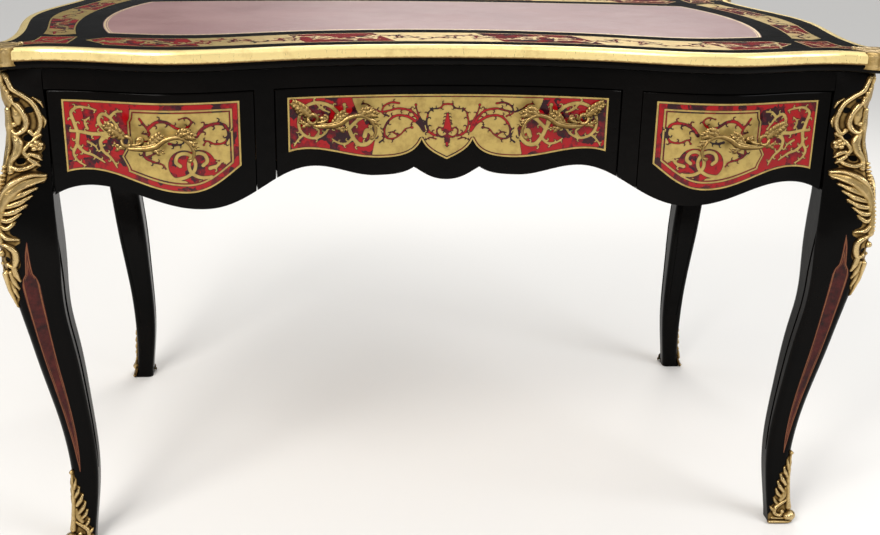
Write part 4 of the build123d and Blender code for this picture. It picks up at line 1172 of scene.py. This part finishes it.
def relief_field(discs, bounds, cell, base, half_outline):
    """Height and outline of cast ornament over a rectangle. The height is the highest dome,
    lift * sqrt(1 - (d / r)^2) less its vein, over a plate of thickness base, and the outline is where the
    distance is zero. The plate's own outline is given as its right half, from the top down."""
    field = raster(*bounds, cell)
    far = field["far"]
    half = smooth_path(half_outline, 1.0)
    outline = np.concatenate([half, half[::-1] * [-1, 1]])
    a, z = np.meshgrid(field["x"], field["z"])
    gap = rim_distance(a, z, outline)
    np.minimum(far, np.where(within(a, z, outline), -gap, gap), out=far)
    rise = np.zeros_like(far)
    for x, z, r, lift, vein in discs:
        part, away = patch(field, x, z, r + relief_margin)
        dome = np.sqrt(np.clip(1 - (away / r) ** 2, 0, 1)) - vein * np.exp(-((away / (0.22 * r)) ** 2))
        np.maximum(rise[part], lift * dome, out=rise[part])
        np.minimum(far[part], away - r, out=far[part])
    field["rise"] = rise
    field["base"] = base
    return field


def pierce(field, holes):
    """Opens round holes (a, z, radius) through a relief, on both sides of its middle line."""
    a, z = np.meshgrid(field["x"], field["z"])
    for place, height, radius in holes:
        for side in (1, -1):
            away = radius - np.hypot(a - side * place, z - height)
            field["far"] = np.maximum(field["far"], away)


def blurred(values, sigma):
    """A grid smoothed by a bell of sigma cells, rows then columns."""
    reach = int(3 * sigma) + 1
    bell = np.exp(-0.5 * (np.arange(-reach, reach + 1) / sigma) ** 2)
    bell /= bell.sum()
    padded = np.pad(values, reach, mode="edge")
    rows = sum(weight * padded[k:k + values.shape[0], :] for k, weight in enumerate(bell))
    return sum(weight * rows[:, k:k + values.shape[1]] for k, weight in enumerate(bell))


def cast(name, field, place_of, sides, tuck=rim_tuck):
    """Bronze over the outline of a relief field. place_of gives points and outward directions for
    (a, z, proud). The rim's points are drawn on to the outline, and a wall goes down from it."""
    far, rise, base, cell = field["far"], field["rise"], field["base"], field["cell"]
    a, z = drawn_in(*np.meshgrid(field["x"], field["z"]), far)
    quads, used = kept_quads(far < cell * 0.75)
    shade = rise - blurred(rise, shade_reach / cell)
    edge = np.clip(-far / rim_width, 0, 1)
    # painted light: hollows and the rim darker, crests lighter, over the real burnish and patina
    burnish_and_painted_light = np.clip(0.42 + 0.35 * shade + 0.045 * rise, 0, 1) * (0.35 + 0.65 * edge)
    proud = base * (0.55 + 0.45 * edge) + rise * edge
    points, out = place_of(*[values.ravel()[used] for values in (a, z, proud)])
    fields = {"relief": burnish_and_painted_light.ravel()[used]}
    turn = np.array([*sides, 1.0])
    if sides[0] * sides[1] < 0:
        quads = quads[:, ::-1]
    return surface(name, points * turn, quads, fields, gilt, base + tuck, -out * turn)


# ---------------------------------------------------------------- chutes over the knees
# Each knee carries a pierced rococo mount over its arris: a shell between C-scrolls, a great leaf that
# curls outwards, and a beaded neck that ends in a small ring and a drop.
chute_base = 2.0
cast_cell = 0.75
shell_foot = 690              # the height that the rays of the small shell spread from
flower = (30, 640)            # the middle of the flower at the waist
chute_outline = [             # half the plate's outline in chart places, from the tip down
    (0, 743), (7, 741), (11, 735), (11, 728), (14, 722), (15, 714), (21, 713), (25, 707), (30, 701),
    (32, 694), (36, 688), (38, 679), (38, 668), (35, 660), (36, 653), (34, 648), (38, 642), (38, 635),
    (35, 630), (36, 624), (32, 619), (35, 613), (31, 607), (38, 602), (41, 595), (38, 588), (32, 587),
    (34, 580), (29, 576), (30, 568), (26, 564), (28, 556), (22, 552), (23, 545), (18, 541), (20, 534),
    (15, 528), (16, 521), (22, 515), (23, 508), (18, 503), (20, 496), (21, 486), (20, 474), (16, 466),
    (17, 456), (13, 449), (14, 440), (9, 434), (9, 424), (4, 418), (0, 408),
]
chute_holes = [               # place, height and radius
    (14, 704, 2.8), (24.5, 689, 4.2), (21, 651, 4.4), (17, 620, 4.2), (7.5, 485, 3.8), (6, 471, 2.2),
]


def chute_relief():
    """The chute as strokes over the leg chart: the left and right half are the same."""
    half = [
        # outer C-scroll, and the moulding within it that swells to a boss
        c_scroll([(4, 739), (9, 730), (12, 719), (20, 710), (28, 700), (33, 687), (35, 673), (32, 660),
                  (27, 655), (23, 660)], 3.4, 2.4, 3.2, 1.3),
        c_scroll([(1, 726), (6, 709), (13, 697), (18, 684), (20, 671), (16, 661), (9, 657), (4, 663),
                  (7, 670)], 3.8, 2.2, 4.2, 1.5),
        stroke([(9, 694), (12, 682), (11, 672)], [3.0, 6.5, 4.0], 0.75),
        stroke([(30, 706), (36, 700), (39, 692)], [1.4, 2.4, 1.0], 1.4),
        stroke([(37, 682), (40, 673), (38, 664)], [1.2, 2.2, 0.9], 1.4),
        # the body under the boss
        stroke([(6, 656), (12, 644), (11, 630), (6, 618), (9, 606)], [4.5, 5.5, 5.0, 4.4, 4.0], 1.0, 0.15),
        c_scroll([(34, 655), (28, 650), (22, 642), (18, 632), (22, 626)], 2.6, 2.0, 3.0, 1.4),
        stroke([(10, 612), (17, 609), (26, 612), (32, 618)], [2.6, 3.4, 3.2, 1.6], 1.5, 0.2),
        # leaf below the flower
        stroke([(24, 629), (30, 626), (35, 620)], [2.4, 3.2, 1.4], 1.5, 0.3),
        stroke([(24, 622), (29, 617), (34, 612)], [2.4, 3.0, 1.4], 1.5, 0.3),
        # the great leaf: body, rolled lip, veins
        stroke([(3, 544), (5, 560), (12, 578), (23, 590), (38, 595)], [4.5, 7.0, 8.0, 7.0, 3.2],
               0.85, 0.12),
        stroke([(2, 560), (7, 580), (16, 594), (27, 600), (39, 599)], [3.0, 3.6, 4.0, 3.6, 2.4], 2.2),
        stroke([(8, 566), (17, 580), (29, 588), (38, 592)], [1.5, 2.4, 2.2, 1.2], 2.6),
        # frills that hang from its lower edge
        stroke([(12, 568), (22, 575), (33, 582)], [3.2, 4.2, 1.8], 1.3, 0.35),
        stroke([(9, 559), (19, 563), (30, 572)], [3.2, 4.2, 1.7], 1.3, 0.35),
        stroke([(8, 550), (17, 552), (27, 560)], [3.0, 4.0, 1.7], 1.3, 0.35),
        stroke([(6, 541), (14, 541), (23, 549)], [3.0, 3.6, 1.6], 1.3, 0.35),
        stroke([(5, 532), (12, 530), (19, 538)], [2.8, 3.2, 1.5], 1.3, 0.35),
        # barb over the ring, the ring, and the leafy tail under it
        stroke([(5, 522), (12, 516), (22, 513)], [3.0, 3.2, 1.4], 1.5),
        c_scroll([(2, 508), (11, 505), (17, 497), (17, 485), (13, 475), (7, 478)], 3.4, 2.4, 3.0, 1.5),
        stroke([(13, 474), (14, 462), (16, 452)], [3.0, 3.4, 1.6], 1.3, 0.3),
        stroke([(8, 466), (10, 450), (13, 441)], [3.0, 3.2, 1.4], 1.3, 0.3),
        stroke([(5, 452), (7, 438), (9, 427)], [2.8, 3.0, 1.3], 1.3, 0.3),
    ]
    # a five-petalled flower at the waist
    for turn in np.linspace(0, 2 * math.pi, 5, endpoint=False) + 0.4:
        petal = (flower[0] + 4.4 * math.cos(turn), flower[1] + 4.8 * math.sin(turn))
        half.append(np.array([[*petal, 3.4, 4.6, 0.0]]))
    half.append(np.array([[*flower, 2.4, 7.0, 0.0]]))
    sides_of = flipped(np.concatenate(half))
    # a small shell between the inner mouldings
    shell = []
    for turn in np.linspace(0.0, 1.05, 5):
        reach = 36 - 12 * turn
        tip_a, rise = reach * math.sin(turn) * 0.42, reach * math.cos(turn)
        ray = [(0, shell_foot), (tip_a * 0.6, shell_foot + rise * 0.5), (tip_a, shell_foot + rise)]
        shell.append(stroke(ray, [1.2, 2.2, 2.8], 1.5, 0.25))
    shell = flipped(np.concatenate(shell))
    middle = [
        stroke([(0, 743), (0, 735), (0, 728)], [2.4, 3.4, 2.2], 1.6),
        stroke([(0, 690), (0, 672), (0, 650), (0, 616)], [5.0, 6.5, 4.2, 4.0], 1.2, 0.1),
        stroke([(0, 560), (0, 530), (0, 512)], [5.4, 6.0, 6.6], 1.0),
        stroke([(0, 464), (0, 440), (0, 410)], [5.0, 4.4, 0.9], 1.5, 0.3),
    ]
    beads = [np.array([[0, z, 2.7, 8.0, 0.0]]) for z in np.arange(516, 612, 5.6)]
    eye = [np.array([[0, 494, 5.0, 7.0, 0.0]])]
    return np.concatenate([sides_of, shell] + middle + beads + eye)


chute_field = relief_field(chute_relief(), (-46, 46, 404, 746), cast_cell, chute_base, chute_outline)
pierce(chute_field, chute_holes)
for corner, sides in corners.items():
    made = cast("chute_relief_" + corner, chute_field, on_leg, sides)
    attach(made, "desk")
    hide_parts("chute_" + corner)


# ---------------------------------------------------------------- sabots on the feet
# Each foot stands in a cast shoe: a tall leaf up its arris between two lower ones, a plain band on the
# floor, and a round scroll for the toe.
sabot_base = 1.8
sabot_outline = [
    (0, 129), (4, 126), (4, 118), (8, 112), (7, 104), (12, 99), (11, 91), (16, 86), (15, 78), (19, 73),
    (18, 64), (21, 58), (20, 49), (24, 43), (23, 34), (28, 28), (29, 20), (34, 14), (36, 7), (37, 1.2),
]


def sabot_relief():
    """Strokes over the leg chart, the same on both faces."""
    half = [
        stroke([(0, 3), (18, 3), (36, 3)], [2.6, 2.6, 2.6], 1.2),
        stroke([(0, 9), (16, 9), (30, 9)], [1.8, 1.8, 1.4], 1.3),
        c_scroll([(4, 40), (13, 34), (22, 26), (24, 17), (16, 14), (12, 20)], 3.0, 2.2, 3.4, 1.4),
        stroke([(4, 60), (8, 48), (13, 40)], [3.0, 4.2, 3.0], 1.0, 0.2),
        stroke([(12, 46), (17, 52), (20, 60)], [2.6, 3.2, 1.4], 1.4, 0.3),
        stroke([(9, 56), (14, 64), (18, 73)], [2.8, 3.4, 1.4], 1.4, 0.3),
        stroke([(6, 68), (11, 77), (15, 86)], [2.8, 3.4, 1.3], 1.4, 0.3),
        stroke([(4, 82), (8, 90), (11, 99)], [2.6, 3.0, 1.2], 1.4, 0.3),
        stroke([(3, 96), (5, 104), (7, 112)], [2.3, 2.6, 1.1], 1.4, 0.3),
        stroke([(17, 32), (21, 38), (23, 44)], [2.2, 2.6, 1.2], 1.3, 0.2),
        stroke([(24, 20), (27, 24), (29, 28)], [2.0, 2.4, 1.1], 1.3, 0.2),
    ]
    middle = [
        stroke([(0, 26), (0, 60), (0, 96), (0, 124)], [5.0, 4.4, 3.2, 1.8], 1.3, 0.15),
        np.array([[0, 124, 3.4, 4.6, 0.0]]),
        np.array([[0, 12, 9.0, 10.5, 0.0], [6, 12, 6.5, 8.5, 0.0], [-6, 12, 6.5, 8.5, 0.0]]),
    ]
    return np.concatenate([flipped(np.concatenate(half))] + middle)


sabot_field = relief_field(sabot_relief(), (-40, 40, 1.2, 132), cast_cell, sabot_base, sabot_outline)
for corner, sides in corners.items():
    made = cast("sabot_relief_" + corner, sabot_field, on_leg, sides)
    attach(made, "desk")
    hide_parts("sabot_" + corner)


# ---------------------------------------------------------------- corner clasps
# A cast clasp covers each joint of the brass edge at an ear of the top: reeds that fold over the edge
# like bound ribbon, gathered under a leaf that lies on the top and points to the middle of the desk.
clasp_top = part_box("corner_clasp_front_right")[1].z / MM
clasp_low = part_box("corner_clasp_front_right")[0].z / MM
clasp_tip = Vector((624.0, 382.0))          # the ear's tip
cuff_half = 31.0                            # across the ear
cuff_before = 120                           # from the tip to where the lines that look for the ear start
cuff_thickness = 3.0
leaf_base = 2.2
leaf_cell = 0.7
leaf_tuck = 3.0                             # how far the leaf's rim goes down into the cuff
leaf_sunk = 4.6                             # from the clasp's highest place down to the leaf's plate
leaf_outline = [
    (0, 4), (8, 6), (13, 12), (13, 20), (17, 26), (15, 32), (16, 40), (13, 45), (13, 52), (9, 56), (8, 62),
    (0, 66),
]


def clasp_cuff(side_name, depth_sign):
    """The reeded cuff of a right-hand clasp: rows follow its section up the outside of the ear and in
    over the top, columns go across the ear. The reeds are |cos| waves across it. Returns points, the
    direction into the metal, and the 'relief' numbers, which are painted light: lighter on the reeds'
    tops and the bands, darker in the grooves."""
    trees = [tree_of("corner_clasp_" + side_name + "_right"), tree_of("edge_moulding_" + side_name),
             tree_of("edge_moulding_right")]
    out = np.array([diagonal, depth_sign * diagonal, 0.0])
    side = np.array([diagonal, -depth_sign * diagonal, 0.0])
    across = np.linspace(-cuff_half, cuff_half, 111)
    reach = []
    for off in across:
        start = np.array([clasp_tip.x, depth_sign * clasp_tip.y, 0.0]) + side * off + out * cuff_before
        start[2] = (clasp_low + clasp_top) / 2
        hits = [rays.ray_cast(Vector(start), Vector(-out)) for rays in trees]
        reach.append(min([hit[3] for hit in hits if hit[0] is not None], default=None))
    reach = cuff_before - soften(filled(reach), 3)
    tall = clasp_top - clasp_low
    profile = smooth_path([
        (-0.8, 0.6), (0.4, 3), (0.8, 9), (0.6, tall - 9), (-1.2, tall - 4.6), (-6, tall - 2.6),
        (-14, tall - 2.2), (-26, tall - 3.0),
    ], 0.9)
    inwards, height = profile[:, :1], profile[:, 1:]
    share = across[None, :] / cuff_half
    wave = np.abs(np.cos(share * math.pi * 7.5)) ** 0.7
    low_band = np.exp(-(((height - 4.5) / 2.0) ** 2))
    high_band = np.exp(-(((height - tall + 9) / 1.6) ** 2)) * 0.6
    band = (low_band + high_band) * (inwards > -2)
    bow = 1 - share**2
    proud = 1.3 * wave + 0.9 * band + bow - 1.0
    folded = np.clip((-inwards - 0.8) / 4, 0, 1)
    spread = across[None, :] * (1 - 0.50 * np.clip((-inwards - 2) / 24, 0, 1))
    gone = reach[None, :] + inwards + proud * (1 - folded)
    x = clasp_tip.x + out[0] * gone + side[0] * spread
    y = depth_sign * clasp_tip.y + out[1] * gone + side[1] * spread
    z = clasp_low + height + 0.8 * proud * folded
    down = -(out * (1 - folded)[..., None] + np.array([0, 0, 1.0]) * folded[..., None])
    # painted light: reed tops and the bands lighter, grooves darker
    burnish_and_painted_light = 0.34 + 0.40 * wave + 0.15 * band
    return np.stack([x, y, z], -1), np.broadcast_to(down, x.shape + (3,)), burnish_and_painted_light


def clasp_leaf_relief():
    """The leaf on the top, as strokes: across the clasp, and from the ear inwards."""
    half = [
        stroke([(3, 14), (10, 22), (14, 32)], [3.4, 4.2, 2.0], 1.1, 0.3),
        stroke([(3, 24), (9, 32), (13, 42)], [3.2, 4.0, 1.8], 1.1, 0.3),
        stroke([(3, 34), (8, 42), (11, 51)], [3.0, 3.6, 1.6], 1.1, 0.3),
        stroke([(2, 44), (6, 51), (8, 59)], [2.6, 3.2, 1.4], 1.1, 0.3),
    ]
    middle = [
        stroke([(0, 8), (0, 34), (0, 60)], [4.0, 4.6, 2.2], 1.1, 0.2),
        np.array([[0, 61, 3.6, 4.0, 0.0]]),
    ]
    return np.concatenate([flipped(np.concatenate(half))] + middle)


clasp_field = relief_field(clasp_leaf_relief(), (-22, 22, 1, 70), leaf_cell, leaf_base, leaf_outline)
for side_name, depth_sign in (("front", -1), ("back", 1)):
    cuff_points, cuff_down, cuff_burnish_and_light = clasp_cuff(side_name, depth_sign)
    cuff_quads = grid_quads(*cuff_burnish_and_light.shape).reshape(-1, 4)

    def on_top(a, inward, proud):
        """The top, from the ear of this clasp inwards along its diagonal."""
        x = clasp_tip.x - (inward - a) * diagonal
        y = depth_sign * (clasp_tip.y - (inward + a) * diagonal)
        up = np.zeros(a.shape + (3,))
        up[..., 2] = 1
        return np.stack([x, y, clasp_top - leaf_sunk + 0.55 * proud], -1), up

    for hand_name, hand in (("right", 1), ("left", -1)):
        ear = side_name + "_" + hand_name
        node = "corner_clasp_" + ear
        turn = [hand, 1, 1]
        quads = cuff_quads if hand * depth_sign < 0 else cuff_quads[:, ::-1]
        cuff = surface("clasp_cuff_" + ear, cuff_points.reshape(-1, 3) * turn, quads,
                       {"relief": cuff_burnish_and_light}, gilt, cuff_thickness, cuff_down.reshape(-1, 3) * turn)
        leaf = cast("clasp_leaf_" + ear, clasp_field, on_top, (hand, 1), leaf_tuck)
        if depth_sign > 0:
            leaf.data.flip_normals()
        for made in (cuff, leaf):
            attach(made, "desk")
            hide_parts(node)


# ---------------------------------------------------------------- pulls
# Fixed scrolled pulls of cast bronze, one on each side drawer and two on the centre one, and the same on
# the false drawers at the back: a ring, a twisting stem, an arch, and leaves, on two turned posts.
pull_out = 15.0               # from the drawer's face to the middle of the bar
pull_level = 690              # a height at which every drawer's face is met
bar_weight = 1.2              # every bar is this much thicker than its numbers say
leaf_lift = 2.0
pull_posts = ((-16.5, 1.8), (47.0, 10.0))
post_radii = [6.6, 6.6, 6.2, 4.4, 3.0, 2.6, 3.6, 3.2]
drawer_pulls = {"left": [(-409, 648)], "centre": [(-162, 667), (162, 667)], "right": [(409, 648)]}
pull_leaves = (               # its middle line, its width, and how many pairs of lobes it has
    (((-34, 10), (-41, 17), (-50, 24), (-59, 30)), 13, 6),
    (((-36, 14), (-44, 15), (-52, 18)), 9, 3),
    (((-33, 0), (-41, -2), (-48, 3)), 9, 3),
    (((-2, -3), (4, 4), (9, 10), (16, 16)), 12, 5),
    (((2, -4), (10, -8), (18, -8)), 8, 3),
    (((36, 11), (43, 17), (53, 19)), 11, 5),
    (((40, 10), (50, 14), (60, 12)), 11, 5),
    (((50, 6), (58, 3), (63, -3)), 7, 3),
)


def tube(path, radii, flat, across, sides):
    """Points, quads, end triangles and upward leans of a bar along a path in space. radii are spread
    evenly along it, and flat is its thickness as a share of its width, along a direction across."""
    path = np.asarray(path, float)
    radius = np.interp(np.linspace(0, 1, len(path)), np.linspace(0, 1, len(radii)), radii)
    ahead = np.gradient(path, axis=0)
    ahead /= np.linalg.norm(ahead, axis=1, keepdims=True)
    wide = np.cross(ahead, across)
    wide /= np.maximum(np.linalg.norm(wide, axis=1, keepdims=True), 1e-6)
    thin = np.cross(wide, ahead)
    angle = np.linspace(0, 2 * math.pi, sides, endpoint=False)[:, None]
    ring = wide[:, None] * np.cos(angle) + thin[:, None] * np.sin(angle) * flat
    points = path[:, None] + ring * radius[:, None, None]
    lean = (wide[:, None] * np.cos(angle) + thin[:, None] * np.sin(angle))[..., 2]
    index = np.arange(len(path) * sides).reshape(len(path), sides)
    turned = np.roll(index, -1, axis=1)
    quads = np.stack([index[:-1], turned[:-1], turned[1:], index[1:]], -1).reshape(-1, 4)
    middle = index.size
    caps = [[middle, after, before] for before, after in zip(index[0], turned[0])]
    caps += [[middle + 1, before, after] for before, after in zip(index[-1], turned[-1])]
    points = np.concatenate([points.reshape(-1, 3), path[:1], path[-1:]])
    return points, quads, np.array(caps), np.concatenate([lean.ravel(), [0, 0]])


def pull_bars(place_x, place_z, side, out, face_at):
    """One pull as bars. Local x runs from the ring to the arch and z up; side and out place it."""
    level = face_at(side * place_x)

    def spot(x, z, lift=0.0):
        """A point of the desk from local x and z, and how far it is out from the pull's middle."""
        return (side * (place_x - x), level + out * (pull_out + lift), place_z + z)

    def bar(points, radii, flat=1.0, shade=0.40):
        """A round or flat bar through local points, and how light its gilding is painted, as shade."""
        path = smooth_path([spot(*point) for point in points])
        return tube(path, np.array(radii) * bar_weight, flat, (0, 1, 0), 12), shade

    def leaf(points, width, lobes):
        """A leaf: a flat blade with pointed lobes that sweep forward on both sides."""
        flat_path = smooth_path(points, 0.8)
        rise = np.sin(np.linspace(0, math.pi * 0.8, len(flat_path))) * leaf_lift
        blade = [(x, z, lift) for (x, z), lift in zip(flat_path[::3], rise[::3])]
        found = [bar(blade, [width * 0.20, width * 0.26, width * 0.18, 0.5], 0.6, 0.5)]
        for at in np.linspace(0.08, 0.88, lobes):
            k = int(at * (len(flat_path) - 1))
            ahead = flat_path[min(k + 2, len(flat_path) - 1)] - flat_path[max(k - 2, 0)]
            ahead = ahead / np.linalg.norm(ahead)
            size = width * (0.45 + 0.5 * math.sin(math.pi * (0.2 + 0.8 * at)))
            for hand in (1, -1):
                across = np.array([-ahead[1], ahead[0]]) * hand
                knee = flat_path[k] + size * (0.28 * ahead + 0.34 * across)
                tip = flat_path[k] + size * (0.75 * ahead + 0.52 * across)
                lobe = [(*flat_path[k], rise[k]), (*knee, rise[k] + 0.7), (*tip, rise[k] - 1.2)]
                found.append(bar(lobe, [size * 0.16, size * 0.25, size * 0.20, 0.4], 0.5, 0.36))
        return found

    turn = np.linspace(0, 2 * math.pi, 29)
    ring = [(-30.5 + 6.6 * math.cos(t), 6 + 6.6 * math.sin(t), 1.2 * math.sin(2 * t)) for t in turn]
    stem = [
        (-34, 1), (-28, -3.6), (-16.5, -4.4), (-4, -3.6), (8, -0.6), (18, 6.6), (30, 10.6), (40, 10.4),
        (49, 5.6), (55.4, -3), (57.6, -12), (54.6, -20),
    ]
    strand = [(-20, -1, 1.4), (-6, -0.6, 2.4), (8, 3.4, 2.0), (18, 9.6, 0.8)]
    curl = [(-24, 1, 0), (-16.5, 1.8, 0.6), (-10, 6, 1.4), (-11, 11, 1.0), (-15, 11.4, 0)]
    toe = [(54.6, -20, 0), (51.5, -21.5, 0.5), (50.4, -18.6, 0.8)]
    parts = [
        bar(ring, [1.9, 2.4, 1.9, 2.3, 1.9]),
        bar(stem, [1.2, 2.2, 3.2, 3.9, 3.6, 3.1, 2.6, 2.3, 2.2, 2.0, 1.6]),
        bar(strand, [0.7, 1.5, 1.4, 0.6]),
        bar(curl, [1.5, 1.7, 1.3, 1.1, 1.0]),
        bar(toe, [1.8, 2.2, 2.0]),
    ]
    for points, width, lobes in pull_leaves:
        parts += leaf(points, width, lobes)
    for x, z in pull_posts:
        foot = face_at(side * (place_x - x))
        reach = abs(level + out * pull_out - foot)
        heights = [-1.2, 0.2, 1.6, 2.6, 3.4, reach * 0.55, reach - 3, reach + 1.5]
        path = [(side * (place_x - x), foot + out * height, place_z + z) for height in heights]
        parts.append((tube(path, post_radii, 1.0, (0, 0, 1), 20), 0.3))
    return parts


def pull_piece(name, body, node, panel_node, places, out):
    """The pulls of one node, at places x and z, as one mesh. Their bars are painted lighter where they
    look up and darker where they look down, as light from above.
    """
    rays = front_rays[panel_node]

    def face_at(x):
        """How far back the drawer's face stands at a place along X."""
        return meet(rays, (x, out * outside, pull_level), (0, -out, 0), "y")

    points, faces, shades, start = [], [], [], 0
    for x, z in places:
        side = 1 if x > 0 else -1
        for (spots, quads, caps, lean), shade in pull_bars(abs(x), z, side, out, face_at):
            points.append(spots)
            faces += (quads[:, ::-side] + start).tolist() + (caps[:, ::-side] + start).tolist()
            # painted light: each bar lighter on its upper side, darker underneath
            shades.append(np.clip(shade + 0.34 * lean, 0, 1))
            start += len(spots)
    mesh = bpy.data.meshes.new(name)
    mesh.from_pydata((np.concatenate(points) * MM).tolist(), [], faces)
    made = finished(mesh, {"relief": np.concatenate(shades)}, gilt)
    if out > 0:
        made.data.flip_normals()
    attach(made, body)
    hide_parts(node)


for hand in ("centre", "left", "right"):
    drawer = hand + "_drawer"
    pull_piece("pulls_" + hand, drawer, drawer + "_pulls", drawer + "_marquetry", drawer_pulls[hand], -1)
pull_piece("pulls_back", "desk", "back_pulls", "back_marquetry", sum(drawer_pulls.values(), []), 1)
